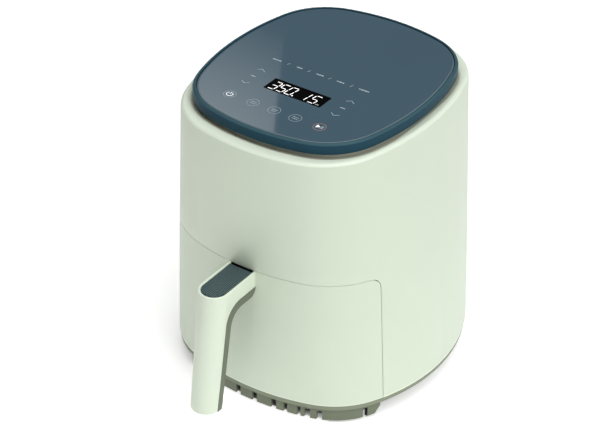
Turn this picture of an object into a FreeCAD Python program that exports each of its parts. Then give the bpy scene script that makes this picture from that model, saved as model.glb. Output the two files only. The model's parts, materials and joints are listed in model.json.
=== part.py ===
import FreeCAD, Part
import math
import os

# Countertop air fryer with a pull-out drawer, in millimetres.
# Modelled round the upright axis of its body, front towards -Y, floor at Z = 0.
# Each piece is moved along Y on saving, so the origin is under the middle of the whole object.

V = FreeCAD.Vector
UP = V(0, 0, 1)

# Heights
base_top = 20.6
seam_top = 160.4
deck_top = 291.1
ledge_top = 289.6
ledge_groove = 1.6
cover_low = 292.0
cover_top = 303.0

# Body plan: half width, half depth, side arc, front arc, corner arc
body_low = (136.9, 135.6, 181.0, 219.0, 81.7)
body_high = (115.9, 136.2, 269.0, 212.0, 74.8)
cover_plan = (107.4, 121.7, 257.0, 198.0, 65.4)
skirt_plan = (133.2, 132.4, 192.0, 240.0, 72.0)
wall = 2.6
shoulder = 3.6

# Drawer
seam_y = -75.7
seam_gap = 0.8
seam_corner = 12.0
pan_half = 97.0
pan_front = -112.0
pan_back = 104.0
pan_low = 30.8
pan_high = 144.0
pan_corner = 50.0
sheet = 1.2

# Handle
grip_half = 15.2
grip_tip_high = -193.3
grip_tip_low = -209.7
grip_low = 35.5
grip_high = seam_top - seam_gap / 2
inlay_half = 12.85
inlay_tip = -190.9

# Cooking cavity
liner_half = 103.0
liner_back = 113.0
liner_front = -70.5
liner_low = 24.6
liner_high = 171.0
dome_radius = 92.0
dome_high = 206.0
coil_level = 182.0
coil_outer = 82.0
coil_inner = 66.0
coil_tube = 3.25

# Door switch above the drawer
switch_x = 50.0
switch_y = -100.0
ceiling_top = 164.6

# Drive
shaft_radius = 4.0
bracket_level = 232.0
motor_low = 236.0
motor_high = 268.0

# Rear gland
gland_level = 52.0
gland_out = 141.0

middle_shift = (-grip_tip_low - gland_out) / 2


def save(node, shape):
    moved = shape.copy()
    moved.translate(V(0, middle_shift, 0))
    moved.exportStep("parts/" + node + ".step")
    print(node, len(moved.Solids), round(moved.Volume / 1000, 2), moved.isValid())


def group(shapes):
    return Part.makeCompound(shapes)


def joined(shapes):
    return shapes[0].fuse(shapes[1:]).removeSplitter()


def box(x0, x1, y0, y1, z0, z1):
    return Part.makeBox(x1 - x0, y1 - y0, z1 - z0, V(x0, y0, z0))


def post(radius, x, y, z0, z1):
    return Part.makeCylinder(radius, z1 - z0, V(x, y, z0), UP)


def ring(outside, inside, x, y, z0, z1):
    return post(outside, x, y, z0, z1).cut(post(inside, x, y, z0 - 1, z1 + 1))


def pin_y(radius, x, z, y0, y1):
    return Part.makeCylinder(radius, y1 - y0, V(x, y0, z), V(0, 1, 0))


def mirrored(shape):
    return shape.mirror(V(0, 0, 0), V(1, 0, 0))


def shrink(plan, inset):
    return tuple(value - inset for value in plan)


def corner_centre(plan):
    half_x, half_y, side, front, corner = plan
    p = half_x - side
    q = half_y - front
    far = side - corner
    near = front - corner
    gap = math.hypot(p, q)
    along = (far * far - near * near + gap * gap) / (2 * gap)
    off = math.sqrt(far * far - along * along)
    ux = -p / gap
    uy = q / gap
    return p + along * ux - off * uy, along * uy + off * ux


def outline(plan, z):
    """Closed plan of four shallow side arcs and four corner arcs, all tangent."""
    half_x, half_y, side, front, corner = plan
    cx, cy = corner_centre(plan)
    p = half_x - side
    q = half_y - front
    lean = math.atan2(cy, cx - p)
    rise = math.atan2(cy - q, cx)
    mid = (lean + rise) / 2
    on_side = (p + side * math.cos(lean), side * math.sin(lean))
    on_front = (front * math.cos(rise), q + front * math.sin(rise))
    between = (cx + corner * math.cos(mid), cy + corner * math.sin(mid))
    loop = [(half_x, 0), on_side, between, on_front, (0, half_y)]
    loop += [(-x, y) for x, y in reversed(loop[:-1])]
    loop += [(x, -y) for x, y in reversed(loop[:-1])]
    points = [V(x, y, z) for x, y in loop]
    order = points[1:-1] + points[:2]
    edges = []
    for i in range(0, 16, 2):
        edges.append(Part.Arc(order[i], order[i + 1], order[(i + 2) % 16]).toShape())
    return Part.Wire(edges)


def block(plan, z0, z1):
    return Part.Face(outline(plan, z0)).extrude(V(0, 0, z1 - z0))


def body_plan(z, inset):
    t = (z - base_top) / (deck_top - base_top)
    return tuple(a + (b - a) * t - inset for a, b in zip(body_low, body_high))


def tower(inset, z0, z1, rounding=0):
    """Tapered body block between two heights, its wall moved in by inset."""
    low = outline(body_plan(z0, inset), z0)
    high = outline(body_plan(z1, inset), z1)
    solid = Part.makeLoft([low, high], True, True)
    if rounding:
        rim = [e for e in solid.Edges if e.BoundBox.ZMin > z1 - 0.01]
        solid = solid.makeFillet(rounding, rim)
    return solid


def rounded(corners, place):
    """Closed wire through corners (u, v, radius), each corner rounded by its radius."""
    edges = []
    count = len(corners)
    first = None
    last = None
    for i in range(count):
        u, v, radius = corners[i]
        here = V(u, v, 0)
        before = V(corners[i - 1][0], corners[i - 1][1], 0)
        after = V(corners[(i + 1) % count][0], corners[(i + 1) % count][1], 0)
        back = (before - here).normalize()
        ahead = (after - here).normalize()
        start = here
        end = here
        if radius:
            half = back.getAngle(ahead) / 2
            reach = radius / math.tan(half)
            start = here + back * reach
            end = here + ahead * reach
            inward = (back + ahead).normalize()
            bend = here + inward * (radius / math.sin(half) - radius)
        if last is not None:
            edges.append(Part.makeLine(place(last), place(start)))
        else:
            first = start
        if radius:
            edges.append(Part.Arc(place(start), place(bend), place(end)).toShape())
        last = end
    edges.append(Part.makeLine(place(last), place(first)))
    return Part.Wire(edges)


def flat(corners, z0, z1):
    wire = rounded(corners, lambda p: V(p.x, p.y, z0))
    return Part.Face(wire).extrude(V(0, 0, z1 - z0))


def profile(corners, x0, x1):
    wire = rounded(corners, lambda p: V(x0, p.x, p.y))
    return Part.Face(wire).extrude(V(x1 - x0, 0, 0))


def screw(x, y, z, head, length):
    shank = post(1.7, x, y, z, z + length)
    cap = post(head, x, y, z - 2.0, z)
    cross = box(x - 1.9, x + 1.9, y - 0.4, y + 0.4, z - 2.1, z - 1.1)
    cross = cross.fuse(box(x - 0.4, x + 0.4, y - 1.9, y + 1.9, z - 2.1, z - 1.1))
    return shank.fuse(cap).cut(cross)


# Housing

def drawer_mouth(offset):
    """Side-on shape of the drawer front, grown by offset past the seam."""
    y = seam_y + offset
    z = seam_top + offset
    corners = [(-260, -20, 0), (y, -20, 0), (y, z, seam_corner + offset), (-260, z, 0)]
    return profile(corners, -170, 170)


boss_places = [(120.0, 20.0), (106.0, 84.0)]


def shell_bosses():
    room = tower(wall - 0.4, base_top, 60)
    pieces = []
    for x, y in boss_places:
        away = V(x, y, 0).normalize()
        rib = box(0, 24, -1.2, 1.2, base_top + 5.5, 54)
        rib.rotate(V(0, 0, 0), UP, math.degrees(math.atan2(away.y, away.x)))
        rib.translate(V(x, y, 0))
        boss = post(5.0, x, y, base_top, 54).fuse(rib).common(room)
        boss = boss.cut(post(1.8, x, y, base_top - 1, 44))
        pieces += [boss, mirrored(boss)]
    return pieces


board_posts = [(y, z) for y in (-38.0, 38.0) for z in (202.0, 262.0)]


def housing_shell():
    outside = tower(0, base_top, ledge_top, shoulder)
    collar = block(shrink(cover_plan, 2.6), ledge_top - 2, deck_top)
    groove = block(shrink(cover_plan, -3.0), ledge_top - ledge_groove, deck_top).cut(collar)
    outside = outside.cut(groove).fuse(collar)
    inside = tower(wall, base_top - 3, ledge_top - wall, shoulder - wall)
    inside = inside.fuse(block(shrink(cover_plan, 2.6 + wall), ledge_top - wall - 2, deck_top - wall))
    shell = outside.cut(inside).cut(drawer_mouth(seam_gap / 2))
    standoffs = []
    for y, z in board_posts:
        stand = Part.makeCylinder(4.0, 18.8, V(-124, y, z), V(1, 0, 0)).common(tower(1.0, 150, 280))
        standoffs.append(stand)
    shell = joined([shell] + shell_bosses() + standoffs)
    holes = [post(58, 0, 10, deck_top - 6, deck_top + 2)]
    for x, y in cover_fixings():
        holes.append(post(2.0, x, y, deck_top - 6, deck_top + 2))
    for y, z in board_posts:
        holes.append(Part.makeCylinder(1.5, 10, V(-114, y, z), V(1, 0, 0)))
    holes.append(box(-42, 42, 120, 150, 176, 212))
    holes.append(pin_y(9.0, 0, gland_level, 120, 150))
    return shell.cut(holes)


foot_places = [(x, y) for x in (-77.0, 77.0) for y in (-96.0, 97.0)]
skirt_left = -74.0
skirt_front = -skirt_plan[1]
slot_ranges = [(7.0, 12.2), (28.0, 33.6), (41.2, 45.2), (55.0, 58.6), (62.0, 68.0), (73.8, 79.0)]


def base_skirt():
    curb = block(skirt_plan, 2.6, 16.5).cut(block(shrink(skirt_plan, 2.6), 0, 20))
    ends = [(-170, 2.6, 0), (-81.5, 2.6, 0), (-76.0, 11.0, 0), (-76.0, 16.5, 0), (-170, 16.5, 0)]
    curb = curb.common(profile(ends, -170, 170)).common(block(shrink(body_low, 1.3), 0, 30))
    cuts = []
    for low, high in slot_ranges:
        cuts.append(box(low, high, -150, -95, 0, 13.0))
        cuts.append(box(-high, -low, -150, -95, 0, 13.0))
    cuts.append(box(92, 170, -93.0, -89.0, 0, 13.0))
    cuts.append(box(-170, skirt_left, -170, 0, 0, 30))
    for x in (-19.0, 19.0):
        cuts.append(box(x - 1.0, x + 1.0, -150, skirt_front + 0.7, 0, 13.0))
    return curb.cut(cuts)


def slot_backing():
    rib = block(shrink(skirt_plan, 9.0), 3.4, 16.5).cut(block(shrink(skirt_plan, 11.0), 0, 20))
    return rib.common(box(skirt_left, 170, -170, -80, 0, 30))


def base_tray():
    rim = shrink(body_low, 0.7)
    floor = block(rim, 15.6, 18.2)
    band = block(rim, 15.6, base_top - 0.3).cut(block(shrink(rim, 3.0), 10, 30))
    lip = block(shrink(body_low, wall + 1.4), 17, 25).cut(block(shrink(body_low, wall + 3.6), 10, 30))
    lip = lip.cut(box(-170, 170, -170, -66, 10, 40)).cut(clear_of_bosses())
    legs = [post(12.0, x, y, 2.6, 16) for x, y in foot_places]
    ribs = [box(x - 1.5, x + 1.5, -62, 82, 18, 21.2) for x in (-68.0, 0.0, 68.0)]
    tray = joined([floor, band, lip, base_skirt(), slot_backing()] + legs + ribs)
    cuts = [post(4.0, x, y, 0, 9) for x, y in foot_places]
    for x, y in boss_places:
        for side in (-1, 1):
            cuts.append(post(2.0, side * x, y, 10, 30))
    for i in range(9):
        y = -64 + i * 16
        cuts.append(box(-62, -8, y, y + 5, 10, 30))
        cuts.append(box(8, 62, y, y + 5, 10, 30))
    return tray.cut(cuts)


def clear_of_bosses():
    wells = []
    for x, y in boss_places:
        for side in (-1, 1):
            wells.append(post(9.0, side * x, y, 18.3, 40))
    return wells


def rubber_feet():
    feet = []
    for x, y in foot_places:
        pad = Part.makeCone(9.4, 10.0, 2.6, V(x, y, 0), UP)
        feet.append(pad.fuse(post(3.9, x, y, 2.6, 8.5)))
    return group(feet)


def base_screws():
    pieces = []
    for x, y in boss_places:
        for side in (-1, 1):
            pieces.append(screw(side * x, y, 15.6, 3.6, 22))
    return group(pieces)


def cord_gland():
    collar = pin_y(13.0, 0, gland_level, 135.8, gland_out)
    neck = pin_y(8.8, 0, gland_level, 126, 138)
    nut = Part.Face(Part.makePolygon(hexagon(13.0, 0, gland_level))).extrude(V(0, 5, 0))
    nut.translate(V(0, 126.6, 0))
    return joined([collar, neck, nut]).cut(pin_y(4.2, 0, gland_level, 120, 150))


def hexagon(radius, x, z):
    turns = [math.radians(60 * i) for i in range(7)]
    return [V(x + radius * math.cos(a), 0, z + radius * math.sin(a)) for a in turns]


def exhaust_grille():
    frame = box(-47, 47, 130.2, 137.8, 171, 217).common(tower(-1.2, 150, 240))
    frame = frame.cut(tower(-0.15, 150, 240).cut(box(-41.6, 41.6, 100, 150, 176.4, 211.6)))
    window = [box(-38, 38, 120, 150, 180, 208)]
    bars = []
    for i in range(4):
        bar = box(-39, 39, -3.6, 3.6, -0.8, 0.8)
        bar.rotate(V(0, 0, 0), V(1, 0, 0), 35)
        bar.translate(V(0, 133.4, 183.6 + i * 6.9))
        bars.append(bar)
    bars.append(box(-0.9, 0.9, 131.4, 135.2, 178, 210))
    return joined([frame.cut(window)] + bars)


def exhaust_duct():
    tunnel = box(-35, 35, 80, 129.9, 178, 204).cut(post(dome_radius + 1.3, 0, 0, 150, 240))
    flange = box(-40, 40, 127.7, 129.9, 177, 211).common(tower(wall + 0.2, 150, 240))
    return joined([tunnel, flange]).cut(box(-33.8, 33.8, 60, 140, 179.2, 202.8))


def cavity_frame():
    """Front bulkhead round the cavity mouth and the ceiling above the drawer."""
    room = tower(wall + 0.45, base_top + 0.2, 240)
    plate = room.common(box(-150, 150, seam_y + 1.8, seam_y + 4.8, base_top + 0.2, 165))
    plate = plate.cut(box(-liner_half, liner_half, -90, -60, liner_low + 1, 158))
    ceiling = room.common(box(-150, 150, -150, seam_y + 4.8, 162.0, ceiling_top))
    return joined([plate, ceiling]).cut(post(2.0, switch_x, switch_y, 150, 170))


# Cooking cavity

def cavity_plan(inset, front):
    half = liner_half - inset
    back = liner_back - inset
    bend = 60.0 - inset
    return [(-half, front, 0), (half, front, 0), (half, back, bend), (-half, back, bend)]


def liner():
    outside = flat(cavity_plan(-1.0, liner_front), liner_low, liner_high)
    inside = flat(cavity_plan(0, -90.0), liner_low + 1, liner_high + 5)
    lid = flat(cavity_plan(-1.0, liner_front), liner_high, liner_high + sheet)
    lid = lid.cut(post(dome_radius + 0.4, 0, 0, 160, 190))
    return joined([outside.cut(inside), lid])


def reflector():
    low = liner_high + sheet
    skin = ring(dome_radius + 1, dome_radius, 0, 0, low, dome_high)
    flange = ring(101, dome_radius, 0, 0, low, low + 1)
    roof = post(dome_radius + 1, 0, 0, dome_high - 1, dome_high)
    dome = joined([skin, flange, roof])
    cuts = [post(8.0, 0, 0, 190, 220), box(-33.8, 33.8, 70, 110, 179.2, 202.8)]
    for x, y in coil_leads():
        cuts.append(post(coil_tube + 1.0, x, y, 190, 220))
    cuts.append(post(2.2, -74.0, 0, 190, 220))
    return dome.cut(cuts)


start_angle = math.radians(8)
turn_angle = math.radians(340)


def polar(radius, angle, z=coil_level):
    return V(radius * math.cos(angle), radius * math.sin(angle), z)


def coil_leads():
    along = V(math.sin(start_angle), -math.cos(start_angle), 0) * 9.0
    places = [polar(coil_outer, start_angle) + along, polar(coil_inner, start_angle) + along]
    return [(p.x, p.y) for p in places]


def lead(radius, flip):
    """Straight riser and the bend that joins it to a ring."""
    foot = polar(radius, start_angle)
    side = V(math.sin(start_angle), -math.cos(start_angle), 0)
    turn = math.sqrt(0.5)
    bend_end = foot + side * 9.0 + UP * 9.0
    bend_mid = foot + side * (9.0 * turn) + UP * (9.0 * (1 - turn))
    top = bend_end + UP * 26.0
    parts = [Part.makeLine(top, bend_end), Part.Arc(bend_end, bend_mid, foot).toShape()]
    if flip:
        parts = [Part.Arc(foot, bend_mid, bend_end).toShape(), Part.makeLine(bend_end, top)]
    return parts


def coil_path():
    edges = lead(coil_outer, False)
    angles = [start_angle + (turn_angle - start_angle) * i / 4 for i in range(5)]
    for a, b in ((0, 2), (2, 4)):
        half = (angles[a] + angles[b]) / 2
        ends = polar(coil_outer, angles[a]), polar(coil_outer, half), polar(coil_outer, angles[b])
        edges.append(Part.Arc(*ends).toShape())
    middle = (coil_outer + coil_inner) / 2
    ahead = V(-math.sin(turn_angle), math.cos(turn_angle), 0) * ((coil_outer - coil_inner) / 2)
    tip = polar(middle, turn_angle) + ahead
    edges.append(Part.Arc(polar(coil_outer, turn_angle), tip, polar(coil_inner, turn_angle)).toShape())
    for a, b in ((4, 2), (2, 0)):
        half = (angles[a] + angles[b]) / 2
        ends = polar(coil_inner, angles[a]), polar(coil_inner, half), polar(coil_inner, angles[b])
        edges.append(Part.Arc(*ends).toShape())
    return edges + lead(coil_inner, True)


def heating_coil():
    edges = coil_path()
    path = Part.Wire(edges)
    start = edges[0].Vertexes[0].Point
    ring_wire = Part.Wire([Part.makeCircle(coil_tube, start, UP)])
    return path.makePipeShell([ring_wire], True, False)


def heater_clips():
    clips = []
    for degrees in (70, 160, 250):
        plate = box(coil_inner - 6, coil_outer + 6, -5, 5, coil_level + 3.5, coil_level + 5.0)
        strap = box(73, 75, -5, 5, coil_level + 3.5, dome_high - 1)
        clip = plate.fuse(strap).removeSplitter()
        clip.rotate(V(0, 0, 0), UP, degrees)
        clips.append(clip)
    return group(clips)


def temperature_probe():
    rod = post(2.0, -74.0, 0, 177, 214)
    collar = post(5.0, -74.0, 0, dome_high, dome_high + 3)
    return rod.fuse(collar).removeSplitter()


def thermal_cutout():
    body = post(7.0, -50, -50, dome_high, dome_high + 8)
    tabs = box(-53, -47, -50.4, -49.6, dome_high + 8, dome_high + 15)
    return joined([body, tabs])


def lead_insulators():
    pieces = []
    for x, y in coil_leads():
        pieces.append(ring(5.4, coil_tube + 0.1, x, y, dome_high, dome_high + 7))
    return group(pieces)


def guide_rails():
    rail = flat([(78, -70, 0), (90, -70, 0), (90, 60, 5), (78, 60, 5)], liner_low + 1, pan_low - 0.4)
    return group([rail, mirrored(rail)])


def catch_clips():
    """Leaf springs beside the mouth that press on the closed drawer."""
    face = seam_y + 1.8
    bow = [(face, 70, 0), (face, 110, 0), (face - 0.6, 110, 0), (face - 1.6, 98, 6),
           (face - 1.6, 82, 6), (face - 0.6, 70, 0)]
    leaf = profile(bow, 104.5, 109.5)
    return group([leaf, mirrored(leaf)])


# Fan drive

def motor_bracket():
    low = liner_high + sheet
    top = bracket_level
    pieces = [post(44, 0, 0, top, top + 2)]
    for degrees in (30, 150):
        arm = box(-107, 107, -9, 9, top, top + 2)
        arm.rotate(V(0, 0, 0), UP, degrees)
        pieces.append(arm)
    for degrees in (30, 150, 210, 330):
        leg = box(105, 107, -9, 9, low, top + 2)
        toe = box(103, 110, -9, 9, low, low + 2)
        part = leg.fuse(toe)
        part.rotate(V(0, 0, 0), UP, degrees)
        pieces.append(part)
    plate = joined(pieces)
    holes = [post(11, 0, 0, 200, 260)]
    for x, y in motor_fixings():
        holes.append(post(2.0, x, y, 200, 260))
    return plate.cut(holes)


def motor_fixings():
    return [(24.0 * sx, 24.0 * sy) for sx in (-1, 1) for sy in (-1, 1)]


def motor():
    can = post(30, 0, 0, motor_low, motor_high)
    nose = post(10.5, 0, 0, motor_low - 4, motor_low)
    tail = post(12, 0, 0, motor_high, motor_high + 4)
    ears = [post(5.5, x, y, bracket_level + 2, motor_low + 6) for x, y in motor_fixings()]
    body = joined([can, nose, tail] + ears)
    cuts = [post(shaft_radius + 0.05, 0, 0, 200, 300)]
    for x, y in motor_fixings():
        cuts.append(post(1.75, x, y, 200, motor_low + 6))
    for i in range(12):
        slot = box(27.5, 32, -2, 2, motor_low + 9, motor_high - 5)
        slot.rotate(V(0, 0, 0), UP, 30 * i)
        cuts.append(slot)
    return body.cut(cuts)


def motor_screws():
    return group([screw(x, y, bracket_level, 3.4, 8) for x, y in motor_fixings()])


def motor_shaft():
    return post(shaft_radius, 0, 0, 186, motor_high + 6)


def shaft_nut():
    hexes = [V(8 * math.cos(a), 8 * math.sin(a), 186.6) for a in (math.radians(60 * i) for i in range(7))]
    nut = Part.Face(Part.makePolygon(hexes)).extrude(V(0, 0, 4.2))
    return nut.cut(post(shaft_radius + 0.02, 0, 0, 180, 200))


def convection_fan():
    hub = post(10, 0, 0, 191, 203)
    disc = post(56, 0, 0, 200.6, 201.8)
    blades = []
    for i in range(10):
        blade = box(22, 55.5, -0.6, 0.6, 189, 200.8)
        blade.rotate(V(22, 0, 0), UP, 24)
        blade.rotate(V(0, 0, 0), UP, 36 * i)
        blades.append(blade.common(post(55.5, 0, 0, 180, 210)))
    fan = joined([hub, disc] + blades)
    return fan.cut(post(shaft_radius + 0.02, 0, 0, 180, 210))


def cooling_fan():
    hub = post(11, 0, 0, 213, 227)
    blades = []
    for i in range(8):
        blade = box(9, 54, -7, 7, -0.7, 0.7)
        blade.rotate(V(0, 0, 0), V(1, 0, 0), 32)
        blade.translate(V(0, 0, 220))
        blade.rotate(V(0, 0, 0), UP, 45 * i)
        blades.append(blade)
    return joined([hub] + blades).cut(post(shaft_radius + 0.02, 0, 0, 200, 240))


# Electronics

def power_board():
    board = box(-105.2, -103.6, -44, 44, 195, 269)
    return board.cut([Part.makeCylinder(1.9, 10, V(-110, y, z), V(1, 0, 0)) for y, z in board_posts])


def board_parts():
    face = -103.6
    relay = box(face, face + 16, -30, -14, 212, 232)
    transformer = box(face, face + 20, -4, 22, 206, 228)
    filter_can = Part.makeCylinder(6, 20, V(face, 30, 240), V(1, 0, 0))
    second_can = Part.makeCylinder(5, 14, V(face, 12, 250), V(1, 0, 0))
    terminal = box(face, face + 10, -30, 0, 244, 256)
    return group([relay, transformer, filter_can, second_can, terminal])


def board_screws():
    pieces = []
    for y, z in board_posts:
        head = Part.makeCylinder(3.2, 2, V(-103.6, y, z), V(1, 0, 0))
        shank = Part.makeCylinder(1.4, 8, V(-111.6, y, z), V(1, 0, 0))
        pieces.append(head.fuse(shank))
    return group(pieces)


def interlock_switch():
    body = box(switch_x - 10, switch_x + 10, switch_y - 4, switch_y + 4, ceiling_top, ceiling_top + 9)
    tabs = [box(x - 0.4, x + 0.4, switch_y - 2, switch_y + 2, ceiling_top + 9, ceiling_top + 14)
            for x in (switch_x - 6, switch_x + 6)]
    return joined([body] + tabs).cut(post(1.55, switch_x, switch_y, 150, ceiling_top + 7))


def switch_plunger():
    return post(1.5, switch_x, switch_y, seam_top + 0.3, ceiling_top + 5)


# Top cover and controls

def cover_fixings():
    return [(x, y) for x in (-82.0, 82.0) for y in (-62.0, 72.0)]


def top_cover():
    side = block(cover_plan, cover_low, cover_top - 1.8)
    low = outline(cover_plan, cover_top - 1.8)
    high = outline(shrink(cover_plan, 1.6), cover_top)
    edge = Part.makeLoft([low, high], True, True)
    neck = block(shrink(cover_plan, 3.0), deck_top, cover_low)
    cover = joined([side, edge, neck])
    glass_bed = block(shrink(cover_plan, 3.6), 300.0, 310)
    board_bed = block(shrink(cover_plan, 9.0), 294.4, 310)
    cuts = [glass_bed, board_bed, post(18, 0, 10, 280, 300)]
    for x, y in cover_fixings():
        cuts.append(post(1.75, x, y, 280, 293.6))
    return cover.cut(cuts)


def cover_screws():
    return group([screw(x, y, deck_top - wall, 3.6, 4.8) for x, y in cover_fixings()])


def touch_panel():
    return block(shrink(cover_plan, 4.0), 300.0, 302.3)


icon_places = [(-49.4, -84.7), (-23.3, -84.7), (0.0, -84.7), (23.3, -84.7), (49.4, -84.7)]
arrow_places = [(-52.0, -40.0), (-52.0, -56.0), (52.0, -40.0), (52.0, -56.0)]


def control_board():
    board = flat([(-66, -98, 6), (66, -98, 6), (66, 4, 6), (-66, 4, 6)], 296.2, 297.8)
    stilts = [post(3, x, y, 294.4, 296.2) for x in (-58, 58) for y in (-90, -4)]
    return joined([board] + stilts)


def display_module():
    return box(-31.1, 31.1, -57.4, -37.9, 297.8, 299.8)


def sensor_pads():
    return group([post(5.5, x, y, 297.8, 299.9) for x, y in icon_places + arrow_places])


# Drawer

frame_screws = [(-70.0, -114.4), (0.0, -124.0), (70.0, -114.4)]
frame_floor = base_top + 3.0


def drawer_front():
    outside = tower(0, base_top + 0.4, 200).common(drawer_mouth(-seam_gap / 2))
    room = tower(wall, base_top - 2, 200)
    inside = room.common(drawer_mouth(-seam_gap / 2 - wall))
    doorway = room.common(box(-170, 170, -98, -60, 0, 148))
    shell = outside.cut(inside).cut(doorway)
    spacers = [pin_y(4.6, x, 147.5, -133.4, -129.8) for x in (-8.0, 8.0)]
    for x, y in frame_screws:
        boss = post(4.0, x, y, frame_floor + 2.2, 42)
        web = box(x - 1.2, x + 1.2, -140, y, frame_floor + 2.2, 42)
        spacers.append(boss.fuse(web).common(tower(wall - 0.4, base_top, 200)))
    shell = joined([shell] + spacers)
    holes = [pin_y(1.9, x, 147.5, -145, -120) for x in (-8.0, 8.0)]
    holes += [post(1.75, x, y, 20, 38) for x, y in frame_screws]
    return shell.cut(holes)


def drawer_frame():
    room = tower(wall + 0.15, base_top + 0.6, 200)
    rear = seam_y - seam_gap / 2 - 0.6
    plate = room.common(box(-150, 150, rear - 2.6, rear, base_top + 0.6, 147.8))
    plate = plate.cut(box(-pan_half - 1.6, pan_half + 1.6, -100, -60, 28.6, 200))
    floor = room.common(box(-150, 150, -150, rear, frame_floor, frame_floor + 2.2))
    return joined([plate, floor]).cut([post(1.9, x, y, 10, 40) for x, y in frame_screws])


def drawer_screws():
    return group([screw(x, y, frame_floor, 3.4, 12) for x, y in frame_screws])


def pan_plan(inset):
    half = pan_half - inset
    front = pan_front + inset
    back = pan_back - inset
    bend = pan_corner - inset
    return [(-half, front, bend), (half, front, bend), (half, back, bend), (-half, back, bend)]


def pan():
    outside = flat(pan_plan(0), pan_low, pan_high)
    hem = flat(pan_plan(-1.0), pan_high - 3.0, pan_high)
    inside = flat(pan_plan(sheet), pan_low + sheet, pan_high + 1)
    low_edges = [e for e in outside.Edges if e.BoundBox.ZMax < pan_low + 0.01]
    outside = outside.makeFillet(7.0, low_edges)
    low_edges = [e for e in inside.Edges if e.BoundBox.ZMax < pan_low + sheet + 0.01]
    inside = inside.makeFillet(7.0 - sheet, low_edges)
    holes = [pin_y(2.0, x, z, -120, -100) for x, z in rivet_places]
    return outside.fuse(hem).removeSplitter().cut(inside).cut(holes)


rivet_places = [(x, z) for x in (-25.0, 25.0) for z in (100.0, 128.0)]


def pan_bracket():
    outside = box(-35, 35, -129.8, pan_front - 0.1, 90, 138)
    inside = box(-33, 33, -127.8, pan_front - 2.1, 80, 150)
    tab = box(-20, 20, -129.8, -127.8, 138, 155)
    bracket = joined([outside.cut(inside), tab])
    holes = [pin_y(1.9, x, 147.5, -145, -120) for x in (-8.0, 8.0)]
    holes += [pin_y(2.0, x, z, -120, -100) for x, z in rivet_places]
    holes += [pin_y(4.0, x, z, -140, -120) for x, z in rivet_places]
    return bracket.cut(holes)


def pan_rivets():
    pieces = []
    for x, z in rivet_places:
        shank = pin_y(1.95, x, z, pan_front - 3.0, pan_front + sheet + 1.2)
        inner = pin_y(3.6, x, z, pan_front + sheet, pan_front + sheet + 1.2)
        outer = pin_y(3.6, x, z, pan_front - 3.2, pan_front - 2.1)
        pieces.append(joined([shank, inner, outer]))
    return group(pieces)


# Handle

def nose_wire(tip, half, z, back):
    centre = tip + half
    right = Part.makeLine(V(half, back, z), V(half, centre, z))
    round_end = Part.Arc(V(half, centre, z), V(0, tip, z), V(-half, centre, z)).toShape()
    left = Part.makeLine(V(-half, centre, z), V(-half, back, z))
    rear = Part.makeLine(V(-half, back, z), V(half, back, z))
    return Part.Wire([right, round_end, left, rear])


def nose(inset, z0, z1):
    """Round-fronted upright block that leans out towards the floor."""
    lean = (grip_tip_low - grip_tip_high) / (grip_high - grip_low)
    wires = []
    for z in (z0, z1):
        tip = grip_tip_high + lean * (grip_high - z) + inset
        wires.append(nose_wire(tip, grip_half - inset, z, -120))
    return Part.makeLoft(wires, True, True)


def below_shell():
    """Side-on space under the arm and behind the front shell of the handle."""
    corners = [(-110, 143.5, 0), (-178.1, 143.5, 22), (-198.0, 30.8, 0), (-110, 30.8, 0)]
    return profile(corners, -40, 40)


def below_back():
    """Side-on finger space behind the handle."""
    corners = [(-110, 135.3, 0), (-171.5, 135.3, 17), (-192.0, 30.8, 0), (-110, 30.8, 0)]
    return profile(corners, -40, 40)


def inlay_block(inset, z0, z1):
    wire = nose_wire(inlay_tip + inset, inlay_half - inset, z0, -120)
    return Part.Face(wire).extrude(V(0, 0, z1 - z0))


def handle_front():
    shape = nose(0, grip_low, grip_high).cut(below_shell())
    hollow = nose(2.8, grip_low + 3, 154).cut(box(-40, 40, -152, -100, 0, 200))
    shape = shape.cut(hollow).cut(inlay_block(0, grip_high - 1.6, grip_high + 5))
    holes = [pin_y(1.8, x, 147.5, -150, -120) for x in (-8.0, 8.0)]
    return shape.cut(tower(-0.1, base_top, 200)).cut(holes)


def handle_back():
    shape = nose(0, grip_low, grip_high).common(below_shell()).cut(below_back())
    return shape.cut(tower(-0.1, base_top, 200))


def handle_inlay():
    plate = inlay_block(0.4, grip_high - 1.5, grip_high - 0.25)
    return plate.cut(tower(-1.6, base_top, 200))


def handle_screws():
    pieces = []
    for x in (-8.0, 8.0):
        shank = pin_y(1.75, x, 147.5, -149, -127.8)
        head = pin_y(3.6, x, 147.5, -127.8, -125.6)
        pieces.append(shank.fuse(head))
    return group(pieces)


# Crisper

def crisper_corners(inset):
    half = 92.6 - inset
    bend = 46.0 - inset
    return [(-half, -107.4 + inset, bend), (half, -107.4 + inset, bend),
            (half, 99.4 - inset, bend), (-half, 99.4 - inset, bend)]


def crisper_plate():
    plate = flat(crisper_corners(0), 44, 45.4)
    rim = flat(crisper_corners(0), 44, 52).cut(flat(crisper_corners(1.4), 40, 60))
    plate = joined([plate, rim])
    holes = [post(11, 0, -4, 40, 60)]
    for row in range(-5, 6):
        for column in range(-5, 6):
            x = column * 15.5
            y = row * 15.5 - 4
            if abs(row) + abs(column) < 9 and abs(row) + abs(column) > 1:
                holes.append(post(3.6, x, y, 40, 60))
    return plate.cut(holes)


def crisper_feet():
    feet = []
    for x in (-80.0, 80.0):
        for y in (-66.0, 58.0):
            feet.append(post(6.0, x, y, pan_low + sheet + 0.3, 44))
    return group(feet)


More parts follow.
